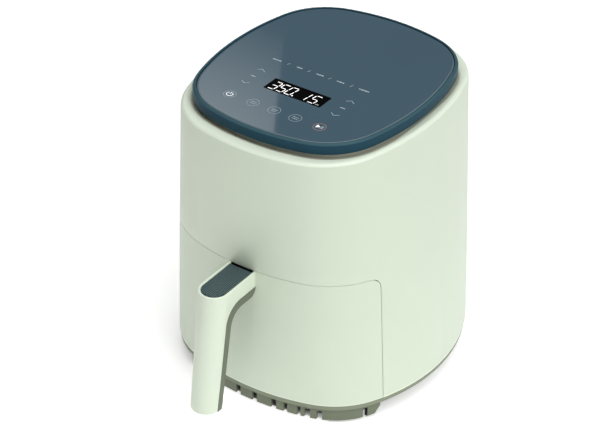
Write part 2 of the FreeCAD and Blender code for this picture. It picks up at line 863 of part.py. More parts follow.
def build():
    os.makedirs("parts", exist_ok=True)
    makers = [
        housing_shell, base_tray, rubber_feet, base_screws, cord_gland, exhaust_grille, exhaust_duct,
        cavity_frame, liner, reflector, heating_coil, heater_clips, lead_insulators,
        temperature_probe, thermal_cutout, guide_rails, catch_clips, motor_bracket, motor,
        motor_screws, motor_shaft, shaft_nut, convection_fan, cooling_fan, power_board,
        board_parts, board_screws, interlock_switch, switch_plunger, top_cover, cover_screws,
        touch_panel, control_board, display_module, sensor_pads, drawer_front, drawer_frame,
        drawer_screws, pan, pan_bracket, pan_rivets, handle_front, handle_back, handle_inlay,
        handle_screws, crisper_plate, crisper_feet,
    ]
    for maker in makers:
        save(maker.__name__, maker())


build()
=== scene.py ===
import bmesh
import bpy
import json
import math
from mathutils import Matrix, Vector


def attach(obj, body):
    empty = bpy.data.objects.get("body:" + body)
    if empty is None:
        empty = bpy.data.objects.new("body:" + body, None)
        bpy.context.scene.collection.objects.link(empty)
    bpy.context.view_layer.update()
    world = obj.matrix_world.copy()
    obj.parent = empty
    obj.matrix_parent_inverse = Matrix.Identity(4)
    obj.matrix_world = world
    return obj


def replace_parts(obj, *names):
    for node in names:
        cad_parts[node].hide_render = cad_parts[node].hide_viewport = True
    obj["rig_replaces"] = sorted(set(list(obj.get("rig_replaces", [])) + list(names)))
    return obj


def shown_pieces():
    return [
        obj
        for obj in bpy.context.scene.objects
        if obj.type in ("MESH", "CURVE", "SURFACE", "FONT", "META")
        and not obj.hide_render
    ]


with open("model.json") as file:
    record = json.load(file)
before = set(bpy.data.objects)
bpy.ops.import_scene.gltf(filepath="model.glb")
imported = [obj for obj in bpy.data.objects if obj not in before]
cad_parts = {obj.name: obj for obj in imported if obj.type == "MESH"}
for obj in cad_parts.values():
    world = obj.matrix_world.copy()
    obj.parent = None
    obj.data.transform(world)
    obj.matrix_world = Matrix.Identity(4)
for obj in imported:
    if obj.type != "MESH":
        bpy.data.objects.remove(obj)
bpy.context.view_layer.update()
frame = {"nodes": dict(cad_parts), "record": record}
nodes = frame["nodes"]
scene = bpy.context.scene
slotOf = {row["node"]: row["material_slot"] for row in frame["record"]["subparts"]}
bodyOf = {node: body for body, names in frame["record"]["behaviour"]["bodies"].items() for node in names}
mm = 0.001  # metres
bodyShift = 34.35  # mm from the origin back to the body's upright axis
skirtCentre = 107.6  # mm from that axis back to the centre of the skirt's front arc
print("frame loaded:", len(nodes), "nodes")


def place(x, y, z):
    return Vector((x, y + bodyShift, z)) * mm


# Node wiring

class Sock:
    def __init__(self, tree, socket):
        self.tree = tree
        self.socket = socket

    def node(self, kind, settings=None, values=None, output=0):
        made = self.tree.nodes.new(kind)
        for key, value in (settings or {}).items():
            setattr(made, key, value)
        for key, value in (values or {}).items():
            for one in value if isinstance(value, list) else [value]:
                if isinstance(one, Sock):
                    self.tree.links.new(one.socket, made.inputs[key])
                else:
                    made.inputs[key].default_value = one
        return Sock(self.tree, made.outputs[output])

    def math(self, operation, first, second):
        return self.node("ShaderNodeMath", {"operation": operation}, {0: first, 1: second})

    def __add__(self, other):
        return self.math("ADD", self, other)

    def __radd__(self, other):
        return self.math("ADD", other, self)

    def __sub__(self, other):
        return self.math("SUBTRACT", self, other)

    def __rsub__(self, other):
        return self.math("SUBTRACT", other, self)

    def __mul__(self, other):
        return self.math("MULTIPLY", self, other)

    def __truediv__(self, other):
        return self.math("DIVIDE", self, other)

    def __gt__(self, other):
        return self.math("GREATER_THAN", self, other)

    def __lt__(self, other):
        return self.math("LESS_THAN", self, other)


def noise(coords, scale, detail=2.0, rough=0.5):
    return coords.node("ShaderNodeTexNoise", {}, {"Vector": coords, "Scale": scale, "Detail": detail,
                                                  "Roughness": rough})


def stretched(coords, x, y, z):
    return coords.node("ShaderNodeMapping", {}, {"Vector": coords, "Scale": (x, y, z)})


def mixed(factor, first, second):
    return factor.node("ShaderNodeMix", {"data_type": "RGBA"}, {0: factor, 6: first, 7: second}, 2)


def bumped(height, strength, distance):
    return height.node("ShaderNodeBump", {}, {"Height": height, "Strength": strength, "Distance": distance})


def axesOf(vector):
    split = vector.node("ShaderNodeSeparateXYZ", {}, {0: vector})
    return [Sock(split.tree, out) for out in split.socket.node.outputs]


def bodyAxes(coords):
    # across, depth and height in mm, as place() takes them
    across, depth, height = axesOf(coords)
    return across / mm, depth / mm - bodyShift, height / mm


def ramped(value, low, high):
    return value.node("ShaderNodeMapRange", {}, {0: value, 1: low, 2: high})


def between(value, low, high):
    return (value > low) * (value < high)


def either(first, second):
    return first.math("MAXIMUM", first, second)


def farFrom(coords, spot):
    # mm from a spot that is given as to place()
    away = coords.node("ShaderNodeVectorMath", {"operation": "DISTANCE"}, {0: coords, 1: place(*spot)}, 1)
    return away / mm


def newMaterial(name, constants):
    material = bpy.data.materials.new(name)
    material.use_nodes = True
    tree = material.node_tree
    shader = tree.nodes["Principled BSDF"]
    for key, value in constants.items():
        shader.inputs[key].default_value = value
    coords = Sock(tree, tree.nodes.new("ShaderNodeTexCoord").outputs["Object"])
    return material, shader, coords


def feed(shader, key, source):
    source.tree.links.new(source.socket, shader.inputs[key])


def rgb(red, green, blue):
    return (red, green, blue, 1.0)


def grey(level):
    return rgb(level, level, level)


def facingUp(coords, low, high):
    # 0 where the surface's upward lean is low, 1 where it is high; a level surface has 1.0
    normal = Sock(coords.tree, coords.socket.node.outputs["Normal"])
    return ramped(axesOf(normal)[2], low, high)


# noises are scale, detail and roughness; a share is how much of the colour or roughness one gives
plastic = {"clouds": (22.0, 3.0), "grain": (2.0, 0.6), "cloudRough": 0.06, "grainRough": 0.05,
           "cloudShare": 0.75, "grainShare": 0.25, "bumpDepth": 0.0002}
highlightLean = (0.25, 0.6)  # upward lean over which an edge turns pale, a painted highlight


def satinPlastic(name, rough, gloss=0.5, grain=2400.0, bump=0.06):
    # a moulded surface's roughness and grain, with the two noises that tint it
    material, shader, coords = newMaterial(name, {"IOR": 1.47, "Specular IOR Level": gloss})
    cloudy = noise(coords, *plastic["clouds"])
    fine = noise(coords, grain, *plastic["grain"])
    feed(shader, "Roughness", rough + cloudy * plastic["cloudRough"] + fine * plastic["grainRough"])
    feed(shader, "Normal", bumped(fine, bump, plastic["bumpDepth"]))
    return material, shader, coords, cloudy, fine


def tinted(cloudy, fine, shade, color):
    return mixed(cloudy * plastic["cloudShare"] + fine * plastic["grainShare"], shade, color)


def mouldedPlastic(name, color, shade, rough):
    material, shader, coords, cloudy, fine = satinPlastic(name, rough)
    feed(shader, "Base Color", tinted(cloudy, fine, shade, color))
    return material


def bodyPlastic():
    # painted highlight on upward edges and the hem, painted light on the handle, painted shade in the gap
    # round the cover and the slit behind the inlay
    look = {"color": rgb(0.632, 0.706, 0.577), "shade": rgb(0.602, 0.679, 0.548),
            "handle": rgb(0.672, 0.748, 0.613), "crestHighlight": rgb(0.765, 0.845, 0.71),
            "gap": rgb(0.44, 0.45, 0.355), "slit": rgb(0.012, 0.013, 0.011)}
    zone = {"handleY": -136.55, "hemZ": 21.8, "gapX": 109.0, "gapY": 126.5, "gapReach": 0.86, "gapZ": 286.0,
            "ledgeZ": (288.9, 287.9), "ledgeLean": (0.7, 0.5), "slitX": 12.7, "slitY": (-137.9, -132.25),
            "slitZ": (152.9, 160.05)}
    material, shader, coords, cloudy, fine = satinPlastic("bodyGreen", 0.35)
    across, depth, height = bodyAxes(coords)
    tone = tinted(cloudy, fine, look["shade"], look["color"])
    # painted light: the handle gets a paler copy of the body colour
    tone = mixed(depth < zone["handleY"], tone, look["handle"])
    # painted highlight: upward edges and the bottom hem turn paler
    tone = mixed(either(facingUp(coords, *highlightLean), height < zone["hemZ"]), tone, look["crestHighlight"])
    # painted shade: the groove round the cover, under its rim, is darkened
    squareX, squareY = across / zone["gapX"], depth / zone["gapY"]
    squareX, squareY = squareX * squareX, squareY * squareY
    within = (squareX * squareX + squareY * squareY) < zone["gapReach"]
    sunk = either(ramped(height, *zone["ledgeZ"]), facingUp(coords, *zone["ledgeLean"]))
    tone = mixed(sunk * within * (height > zone["gapZ"]), tone, look["gap"])
    # painted shade: the slit behind the inlay is near black
    slit = between(across, -zone["slitX"], zone["slitX"]) * between(depth, *zone["slitY"])
    feed(shader, "Base Color", mixed(slit * between(height, *zone["slitZ"]), tone, look["slit"]))
    return material


def basePlastic():
    # paler on the band than on the grip and the skirt, the skirt painted darker than the band as shade under
    # it;
    # painted shade where the skirt tucks under the band, near-black painted shade in the skirt's slots
    look = {"grip": rgb(0.151, 0.173, 0.122), "gripShade": rgb(0.134, 0.155, 0.109),
            "band": rgb(0.238, 0.271, 0.190), "bandShade": rgb(0.212, 0.242, 0.169),
            "skirt": rgb(0.172, 0.196, 0.137), "skirtShade": rgb(0.153, 0.175, 0.122),
            "tuckShade": rgb(0.070, 0.080, 0.056), "slot": rgb(0.006, 0.007, 0.006)}
    zone = {"bandZ": 23.5, "skirtZ": 15.65, "tuckZ": (10.5, 15.5), "tuckShare": 0.3, "slotX": 80.5,
            "slotZ": 16.6, "slotReach": 237.5, "sideX": 90.0, "sideY": (-93.25, -88.75), "sideZ": 13.2}
    material, shader, coords, cloudy = satinPlastic("baseGrey", 0.41, gloss=0.22)[:4]
    across, depth, height = bodyAxes(coords)
    grip, band, skirt = (mixed(cloudy, look[key + "Shade"], look[key]) for key in ("grip", "band", "skirt"))
    # painted light and shade: the band paler, the skirt below it darker
    low = height < zone["skirtZ"]
    tone = mixed(low, mixed(height < zone["bandZ"], grip, band), skirt)
    # painted shade where the skirt tucks under the band
    tone = mixed(ramped(height, *zone["tuckZ"]) * low * zone["tuckShare"], tone, look["tuckShade"])
    # painted shade, near black, on the slot walls, the recess behind the skirt and a low strip on each side
    back = depth - skirtCentre
    slots = ((across * across + back * back) < zone["slotReach"] ** 2) * (height < zone["slotZ"])
    slots = slots * between(across, -zone["slotX"], zone["slotX"])
    side = (1 - between(across, -zone["sideX"], zone["sideX"])) * between(depth, *zone["sideY"])
    feed(shader, "Base Color", mixed(slots + side * (height < zone["sideZ"]), tone, look["slot"]))
    return material


metal = {"streaks": (1.0, 4.0, 0.65), "smudges": (35.0, 3.0), "stains": (14.0, 2.0), "streakShare": 0.7,
         "smudgeShare": 0.3, "stainShare": 0.6, "streakRough": 0.14, "smudgeRough": 0.08, "bumpDepth": 0.0001}


def brushedMetal(name, color, shade, rough=0.3, along=(4.0, 900.0, 900.0), bump=0.08, stain=None):
    material, shader, coords = newMaterial(name, {"Metallic": 1.0})
    streaks = noise(stretched(coords, *along), *metal["streaks"])
    smudge = noise(coords, *metal["smudges"])
    tone = mixed(streaks * metal["streakShare"] + smudge * metal["smudgeShare"], shade, color)
    if stain:
        tone = mixed(noise(coords, *metal["stains"]) * metal["stainShare"], tone, stain)
    feed(shader, "Base Color", tone)
    feed(shader, "Roughness", rough + streaks * metal["streakRough"] + smudge * metal["smudgeRough"])
    feed(shader, "Normal", bumped(streaks, bump, metal["bumpDepth"]))
    return material


def speckled(name, dark, pale, patches, rough, grain=None, ior=1.42, gloss=0.5):
    # colour and roughness follow one noise (scale, detail, roughness), the bumps follow another
    material, shader, coords = newMaterial(name, {"IOR": ior, "Specular IOR Level": gloss})
    patch = noise(coords, *patches)
    feed(shader, "Base Color", mixed(patch, dark, pale))
    least, swing = rough
    feed(shader, "Roughness", least + patch * swing)
    if grain:
        scale, detail, strength, distance = grain
        feed(shader, "Normal", bumped(noise(coords, scale, detail), strength, distance))
    return material


def panelGlass():
    look = {"deep": rgb(0.062, 0.110, 0.145), "pale": rgb(0.070, 0.122, 0.160),
            "edge": rgb(0.19, 0.24, 0.265), "edgeLean": (0.985, 0.94), "backing": (9.0, 2.0),
            "wipe": (1.0, 4.0), "wipeAlong": (30.0, 8.0, 8.0), "rough": 0.03, "wipeRough": 0.025,
            "wipeCoat": 0.08}
    material, shader, coords = newMaterial("panelGlass", {"IOR": 1.52, "Specular IOR Level": 0.3,
                                                          "Coat Roughness": 0.02})
    backing = noise(coords, *look["backing"])
    wipe = noise(stretched(coords, *look["wipeAlong"]), *look["wipe"])
    # painted highlight: the glass's bevelled edge is paler than its face
    edgeHighlight = facingUp(coords, *look["edgeLean"])
    feed(shader, "Base Color", mixed(edgeHighlight, mixed(backing, look["deep"], look["pale"]), look["edge"]))
    feed(shader, "Roughness", look["rough"] + wipe * look["wipeRough"])
    feed(shader, "Coat Weight", wipe * look["wipeCoat"])
    return material


def satinCover():
    # the side is dark; the upward edge gets a painted highlight, a paler band
    look = {"side": rgb(0.017, 0.060, 0.090), "sideShade": rgb(0.015, 0.053, 0.081),
            "edge": rgb(0.046, 0.100, 0.124)}
    material, shader, coords, cloudy = satinPlastic("coverTeal", 0.32, 0.07, 2800.0, 0.03)[:4]
    side = mixed(cloudy, look["sideShade"], look["side"])
    feed(shader, "Base Color", mixed(facingUp(coords, *highlightLean), side, look["edge"]))
    return material


def litPrint(name, color, glow, thin=0.9, patches=900.0):
    material, shader, coords = newMaterial(name, {"Emission Strength": glow, "Roughness": 0.4})
    tone = mixed(noise(coords, patches), rgb(*(thin * part for part in color[:3])), color)
    feed(shader, "Base Color", tone)
    feed(shader, "Emission Color", tone)
    return material


def nonStick():
    look = {"dark": rgb(0.020, 0.020, 0.022), "pale": rgb(0.036, 0.036, 0.038),
            "speck": rgb(0.16, 0.16, 0.17), "specks": (900.0, 2.0, 0.6), "speckFrom": 0.68, "speckShare": 0.6,
            "clouds": (30.0, 4.0), "rough": 0.34, "cloudRough": 0.14, "grain": (1600.0, 3.0),
            "bump": (0.08, 0.0002)}
    material, shader, coords = newMaterial("panCoating", {"IOR": 1.48})
    speck = noise(coords, *look["specks"]) > look["speckFrom"]
    cloud = noise(coords, *look["clouds"])
    base = mixed(cloud, look["dark"], look["pale"])
    feed(shader, "Base Color", mixed(speck * look["speckShare"], base, look["speck"]))
    feed(shader, "Roughness", look["rough"] + cloud * look["cloudRough"])
    feed(shader, "Normal", bumped(noise(coords, *look["grain"]), *look["bump"]))
    return material


def circuitBoard():
    look = {"lacquer": rgb(0.015, 0.08, 0.035), "patches": (120.0, 3.0), "share": 0.4, "rough": 0.28,
            "patchRough": 0.15}
    material, shader, coords = newMaterial("boardGreen", {"IOR": 1.5})
    tracks = coords.node("ShaderNodeTexBrick", {"offset": 0.35}, {
        "Vector": coords, "Scale": 55.0, "Mortar Size": 0.03, "Color1": rgb(0.02, 0.10, 0.045),
        "Color2": rgb(0.025, 0.12, 0.05), "Mortar": rgb(0.05, 0.20, 0.09)})
    patch = noise(coords, *look["patches"])
    feed(shader, "Base Color", mixed(patch * look["share"], tracks, look["lacquer"]))
    feed(shader, "Roughness", look["rough"] + patch * look["patchRough"])
    return material


dusty = {"patches": (60.0, 5.0, 0.7), "rough": (0.66, 0.18), "grain": (3200.0, 2.0, 0.12, 0.0002)}
looks = {
    "body_green": bodyPlastic(),
    "base_grey": basePlastic(),
    "inner_grey": mouldedPlastic("innerGrey", rgb(0.060, 0.066, 0.060), rgb(0.046, 0.051, 0.046), 0.45),
    "foot_rubber": speckled("footRubber", rgb(0.055, 0.058, 0.048), rgb(0.11, 0.112, 0.10), **dusty),
    "gland_black": mouldedPlastic("glandBlack", grey(0.030), grey(0.020), 0.40),
    "cover_teal": satinCover(),
    "panel_glass": panelGlass(),
    "inlay_teal": speckled("inlayTeal", rgb(0.016, 0.038, 0.043), rgb(0.025, 0.052, 0.058), (160.0, 3.0),
                           (0.52, 0.12), (3000.0, 2.0, 0.1, 0.0002)),
    "display_black": speckled("displayBlack", rgb(0.0008, 0.0007, 0.0009), rgb(0.0016, 0.0014, 0.0016),
                              (40.0, 3.0), (0.38, 0.1), ior=1.5, gloss=0.04),
    "sheet_steel": brushedMetal("sheetSteel", rgb(0.60, 0.61, 0.62), rgb(0.46, 0.47, 0.48)),
    "coil_steel": brushedMetal("coilSteel", rgb(0.26, 0.24, 0.23), rgb(0.16, 0.15, 0.15), 0.42,
                               (500.0, 500.0, 500.0), 0.12, rgb(0.20, 0.13, 0.09)),
    "spring_steel": brushedMetal("springSteel", rgb(0.64, 0.64, 0.63), rgb(0.52, 0.52, 0.51), 0.24),
    "screw_steel": brushedMetal("screwSteel", rgb(0.66, 0.66, 0.64), rgb(0.50, 0.50, 0.49), 0.28,
                                (700.0, 700.0, 60.0)),
    "shaft_steel": brushedMetal("shaftSteel", grey(0.66), grey(0.55), 0.2, (60.0, 60.0, 1600.0)),
    "fan_aluminium": brushedMetal("fanAluminium", rgb(0.74, 0.75, 0.76), rgb(0.60, 0.61, 0.62), 0.34),
    "motor_case": brushedMetal("motorCase", rgb(0.20, 0.20, 0.21), rgb(0.13, 0.13, 0.14), 0.45),
    "insulator_white": speckled("insulatorWhite", rgb(0.62, 0.59, 0.53), rgb(0.80, 0.78, 0.73), (240.0, 4.0),
                                (0.55, 0.2), (240.0, 4.0, 0.1, 0.0003), ior=1.5),
    "dark_plastic": mouldedPlastic("darkPlastic", rgb(0.045, 0.045, 0.047), rgb(0.03, 0.03, 0.032), 0.43),
    "rail_plastic": mouldedPlastic("railPlastic", grey(0.11), grey(0.08), 0.31),
    "board_green": circuitBoard(),
    "pad_grey": speckled("padGrey", grey(0.13), grey(0.19), **dusty),
    "plunger_red": mouldedPlastic("plungerRed", rgb(0.36, 0.035, 0.03), rgb(0.27, 0.025, 0.02), 0.25),
    "pan_coating": nonStick(),
    "silicone": speckled("silicone", rgb(0.085, 0.085, 0.09), rgb(0.12, 0.12, 0.125), **dusty),
}
inkWhite = litPrint("printWhite", rgb(0.54, 0.62, 0.66), 0.06)
inkFaint = litPrint("printFaint", rgb(0.36, 0.43, 0.48), 0.05)
inkBright = litPrint("printBright", rgb(0.92, 0.96, 1.0), 0.75)
inkAmber = litPrint("printAmber", rgb(0.46, 0.25, 0.17), 0.06)
dotTeal = mouldedPlastic("dotTeal", rgb(0.150, 0.212, 0.217), rgb(0.118, 0.175, 0.182), 0.50)
digitWhite = litPrint("digitWhite", grey(1.0), 1.0)
print("materials made:", len(bpy.data.materials))


# Mesh making

def newPiece(name, mesh):
    piece = bpy.data.objects.new(name, mesh)
    scene.collection.objects.link(piece)
    return piece


# points nearer than so many metres are joined, and faces that lie flatter than so many degrees
mend = {"raw": 1e-6, "sliver": 1e-7, "smooth": 1.5e-7, "bevel": 2e-5, "bevelFlat": 0.3, "carriedFlat": 0.15}


def cleaned(mesh, weld, sliver=0.0, flat=0.0, outward=False):
    # joins near points, drops slivers, joins faces that are flat within some degrees, turns faces outwards
    shaped = bmesh.new()
    shaped.from_mesh(mesh)
    bmesh.ops.remove_doubles(shaped, verts=shaped.verts, dist=weld)
    if sliver:
        bmesh.ops.dissolve_degenerate(shaped, edges=shaped.edges, dist=sliver)
    if flat:
        bmesh.ops.dissolve_limit(shaped, angle_limit=math.radians(flat), verts=shaped.verts,
                                 edges=shaped.edges)
    if outward:
        bmesh.ops.recalc_face_normals(shaped, faces=shaped.faces)
    shaped.to_mesh(mesh)
    shaped.free()
    return mesh


def pieceFrom(name, points, faces, outward=False):
    mesh = bpy.data.meshes.new(name)
    mesh.from_pydata([tuple(p) for p in points], [], faces)
    return newPiece(name, cleaned(mesh, mend["raw"], mend["sliver"], outward=outward))


def bake(piece):
    shown = piece.evaluated_get(bpy.context.evaluated_depsgraph_get())
    mesh = bpy.data.meshes.new_from_object(shown)
    piece.modifiers.clear()
    piece.data = mesh
    return piece


# degrees past which an edge stays sharp
sharpAt = {"skin": 32, "handle": 34, "grille": 34, "screw": 35, "carried": 28}


def smoothed(piece, degrees):
    cleaned(piece.data, mend["smooth"])
    piece.data.shade_smooth()
    piece.data.set_sharp_from_angle(angle=math.radians(degrees))


def carved(piece, cutter, operation):
    change = piece.modifiers.new("carve", "BOOLEAN")
    change.object = cutter
    change.operation = operation
    change.solver = "EXACT"
    bake(piece)
    bpy.data.objects.remove(cutter)
    return piece


def softEdges(piece, width, segments=3, degrees=40.0):
    cleaned(piece.data, mend["bevel"], flat=mend["bevelFlat"])
    edge = piece.modifiers.new("edge", "BEVEL")
    edge.width = width * mm
    edge.segments = segments
    edge.limit_method = "ANGLE"
    edge.angle_limit = math.radians(degrees)
    edge.use_clamp_overlap = True
    edge.miter_outer = "MITER_ARC"
    return bake(piece)


def finished(piece, body, slot, *stoodFor, material=None, sharp=None):
    if sharp:
        smoothed(piece, sharpAt[sharp])
    piece.data.materials.clear()
    piece.data.materials.append(material or looks[slot])
    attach(piece, body)
    if stoodFor:
        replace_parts(piece, *stoodFor)


def bridged(rows, closed=True):
    # faces between rows of points in one list; a row is its first index and its count
    faces = []
    for (low, count), above in zip(rows, rows[1:]):
        high = above[0]
        for i in range(count if closed else count - 1):
            j = (i + 1) % count
            faces.append((low + i, low + j, high + j, high + i))
    return faces


def loft(name, lowLoop, highLoop, low, high, toPoint):
    count = len(lowLoop)
    points = [toPoint(u, v, low) for u, v in lowLoop] + [toPoint(u, v, high) for u, v in highLoop]
    faces = [tuple(reversed(range(count))), tuple(range(count, 2 * count))]
    faces += bridged([(0, count), (count, count)])
    return pieceFrom(name, points, faces, outward=True)


def prism(name, corners, low, high, toPoint):
    return loft(name, corners, corners, low, high, toPoint)


def cut(piece, corners, low, high, toPoint):
    return carved(piece, prism("cutter", corners, low, high, toPoint), "DIFFERENCE")


def sideways(u, v, w):
    return place(w, u, v)


def rearward(u, v, w):
    return place(u, w, v)


def circle(radius, steps, u=0.0, v=0.0):
    turn = (math.tau * k / steps for k in range(steps))
    return [(u + radius * math.cos(a), v + radius * math.sin(a)) for a in turn]


def rounded(corners, steps):
    loop = []
    count = len(corners)
    for i, (u, v, radius) in enumerate(corners):
        here = Vector((u, v))
        if not radius:
            loop.append((u, v))
            continue
        back = (Vector(corners[i - 1][:2]) - here).normalized()
        ahead = (Vector(corners[(i + 1) % count][:2]) - here).normalized()
        half = back.angle(ahead) / 2
        centre = here + (back + ahead).normalized() * (radius / math.sin(half))
        start = here + back * (radius / math.tan(half)) - centre
        end = here + ahead * (radius / math.tan(half)) - centre
        sweep = start.angle_signed(end)
        for k in range(steps + 1):
            turn = -sweep * k / steps
            spoke = Matrix.Rotation(turn, 2) @ start
            loop.append(tuple(centre + spoke))
    return loop


def boxLoop(x0, x1, y0, y1, radius=0.0, steps=6):
    return rounded([(x0, y0, radius), (x1, y0, radius), (x1, y1, radius), (x0, y1, radius)], steps)


# Body plan: half width, half depth, side arc, front arc, corner arc, all in mm
bodyForm = {"low": (136.9, 135.6, 181.0, 219.0, 81.7), "high": (115.9, 136.2, 269.0, 212.0, 74.8),
            "lowZ": 20.6, "highZ": 291.1, "ledge": 289.6, "wall": 2.6, "shoulder": 3.6,
            "levels": (185.0, 210.0, 235.0, 260.0)}
coverForm = {"plan": (107.4, 121.7, 257.0, 198.0, 65.4), "neck": 291.1, "low": 292.0, "top": 303.0,
             "chamfer": 1.6, "rim": 3.6, "collar": 4.8, "glassTop": 302.3, "bed": 300.0, "well": (9.0, 294.4)}


def planAt(z, inset=0.0):
    t = (z - bodyForm["lowZ"]) / (bodyForm["highZ"] - bodyForm["lowZ"])
    return tuple(a + (b - a) * t - inset for a, b in zip(bodyForm["low"], bodyForm["high"]))


def shrink(plan, inset):
    return tuple(value - inset for value in plan)


def rightHalf(plan, steps=40):
    # from the front middle round the +X side to the back middle
    halfX, halfY, side, front, corner = plan
    p, q = halfX - side, halfY - front
    far, near, gap = side - corner, front - corner, math.hypot(p, q)
    along = (far * far - near * near + gap * gap) / (2 * gap)
    off = math.sqrt(far * far - along * along)
    cx = p - along * p / gap - off * q / gap
    cy = along * q / gap - off * p / gap
    lean = math.atan2(cy, cx - p)
    rise = math.atan2(cy - q, cx)
    quarter = []
    for start, end, x, y, radius in ((0, lean, p, 0, side), (lean, rise, cx, cy, corner),
                                     (rise, math.pi / 2, 0, q, front)):
        for k in range(steps):
            a = start + (end - start) * k / steps
            quarter.append((x + radius * math.cos(a), y + radius * math.sin(a)))
    quarter.append((0.0, halfY))
    return [(x, -y) for x, y in reversed(quarter[1:])] + quarter


def stretch(plan, y0, y1, count):
    # even steps along the +X half of the plan from depth y0 to depth y1; None is an end of the half
    line = rightHalf(plan)
    spots = [0.0]
    for a, b in zip(line, line[1:]):
        spots.append(spots[-1] + math.dist(a, b))

    def reach(y):
        for i, (a, b) in enumerate(zip(line, line[1:])):
            if a[1] <= y <= b[1]:
                return spots[i] + (y - a[1]) / max(b[1] - a[1], 1e-9) * (spots[i + 1] - spots[i])
        return spots[-1]

    first = 0.0 if y0 is None else reach(y0)
    last = spots[-1] if y1 is None else reach(y1)
    out = []
    i = 0
    for k in range(count + 1):
        want = first + (last - first) * k / count
        while i < len(spots) - 2 and spots[i + 1] < want:
            i += 1
        t = (want - spots[i]) / max(spots[i + 1] - spots[i], 1e-9)
        a, b = line[i], line[i + 1]
        out.append((a[0] + (b[0] - a[0]) * t, a[1] + (b[1] - a[1]) * t))
    return out


def loopOf(plan, count=64):
    half = stretch(plan, None, None, count)
    return half[:-1] + [(-x, y) for x, y in reversed(half[1:])]


def stacked(name, rings):
    # rings is a list of (plan, z) from outside bottom to inside; both ends are capped
    loops = [[place(x, y, z) for x, y in loopOf(plan)] for plan, z in rings]
    size = len(loops[0])
    last = size * (len(loops) - 1)
    faces = bridged([(r * size, size) for r in range(len(loops))])
    faces += [tuple(reversed(range(size))), tuple(range(last, last + size))]
    return pieceFrom(name, sum(loops, []), faces)


def thickened(piece, thickness):
    skin = piece.modifiers.new("skin", "SOLIDIFY")
    skin.thickness = thickness * mm
    skin.offset = -1.0
    skin.use_even_offset = True
    skin.use_quality_normals = True
    return bake(piece)


# Housing and drawer front share one skin, split along the drawer seam

seam = {"y": -75.7, "top": 160.4, "gap": 0.62, "corner": 12.0, "across": 26, "around": 58, "wrap": 40,
        "straight": 8, "edge": 0.45, "lift": 0.4, "notch": (-12.6, 12.6, -145.0, -132.4),
        "notchZ": (157.0, 165.0)}
rear = {"window": (-42, 42, 176, 212), "outlet": {"radius": 9.0, "steps": 32, "v": 52.0},
        "through": (120, 150)}


def seamEnd(z, offset):
    # depth where the skin ends at height z, following the rounded seam corner
    radius = seam["corner"] + offset
    endY = seam["y"] + offset
    centreZ = seam["top"] + offset - radius
    if z <= centreZ:
        return endY
    rise = min(z - centreZ, radius)
    return endY - radius + math.sqrt(max(radius * radius - rise * rise, 0.0))


def seamRows(low, offset, steps=8):
    radius = seam["corner"] + offset
    centreZ = seam["top"] + offset - radius
    straight = seam["straight"]
    rows = [low + (centreZ - low) * k / (straight - 1) for k in range(straight)]
    return rows + [centreZ + radius * math.sin(math.pi / 2 * k / steps) for k in range(1, steps + 1)]


def addRow(points, rows, row):
    rows.append((len(points), len(row)))
    points.extend(place(*spot) for spot in row)


def housingSkin():
    points, sides, rings = [], [], []
    offset = seam["gap"] / 2
    for z in seamRows(bodyForm["lowZ"], offset):
        half = stretch(planAt(z), seamEnd(z, offset), None, seam["around"])
        addRow(points, sides, [(x, y, z) for x, y in half] + [(-x, y, z) for x, y in reversed(half[:-1])])
    splitZ = seam["top"] + offset
    splitY = seamEnd(splitZ, offset)
    shoulder, collar = bodyForm["shoulder"], coverForm["collar"]
    top, deck = bodyForm["ledge"], bodyForm["highZ"]
    levels = [(planAt(z), z) for z in (splitZ, *bodyForm["levels"], top - shoulder)]
    steps = 10
    for k in range(1, steps + 1):
        a = math.pi / 2 * k / steps
        z = top - shoulder + shoulder * math.sin(a)
        levels.append((planAt(z, shoulder * (1 - math.cos(a))), z))
    # down into the groove round the cover, up its collar and over the deck
    for inset, z in ((-3.2, top - 0.5), (-0.4, top - 1.8), (collar - 1.0, top - 2.4),
                     (collar - 0.3, top - 2.1), (collar, top - 1.4), (collar, deck - 0.2),
                     (collar + 0.5, deck), (22.0, deck)):
        levels.append((shrink(coverForm["plan"], inset), z))
    for plan, z in levels:
        half = stretch(plan, None, splitY, seam["across"])[:-1] + stretch(plan, splitY, None, seam["around"])
        addRow(points, rings, [(x, y, z) for x, y in half] + [(-x, y, z) for x, y in reversed(half[1:-1])])
    return pieceFrom("housingSkin", points, bridged(sides, closed=False) + bridged(rings))


def makeHousing():
    piece = thickened(housingSkin(), bodyForm["wall"])
    piece = softEdges(piece, seam["edge"], segments=2)
    piece = cut(piece, boxLoop(*rear["window"]), *rear["through"], rearward)
    piece = cut(piece, circle(**rear["outlet"]), *rear["through"], rearward)
    finished(piece, "housing", "body_green", "housing_shell", sharp="skin")


def makeDrawerFront():
    points, rows = [], []
    offset = -seam["gap"] / 2
    for z in seamRows(bodyForm["lowZ"] + seam["lift"], offset):
        half = stretch(planAt(z), None, seamEnd(z, offset), seam["wrap"])
        addRow(points, rows, [(-x, y, z) for x, y in reversed(half[1:])] + [(x, y, z) for x, y in half])
    faces = bridged(rows, closed=False)
    curved = rows[seam["straight"] - 1:]
    for (low, count), above in zip(curved, curved[1:]):  # the lip that closes the top rear corner
        high = above[0]
        faces.append((low + count - 1, low, high, high + count - 1))
    first, count = rows[-1]
    faces.append(tuple(range(first, first + count)))
    piece = thickened(pieceFrom("drawerFront", points, faces), bodyForm["wall"])
    piece = cut(piece, boxLoop(*seam["notch"]), *seam["notchZ"], place)
    piece = softEdges(piece, seam["edge"], segments=2)
    finished(piece, "drawer", "body_green", "drawer_front", sharp="skin")


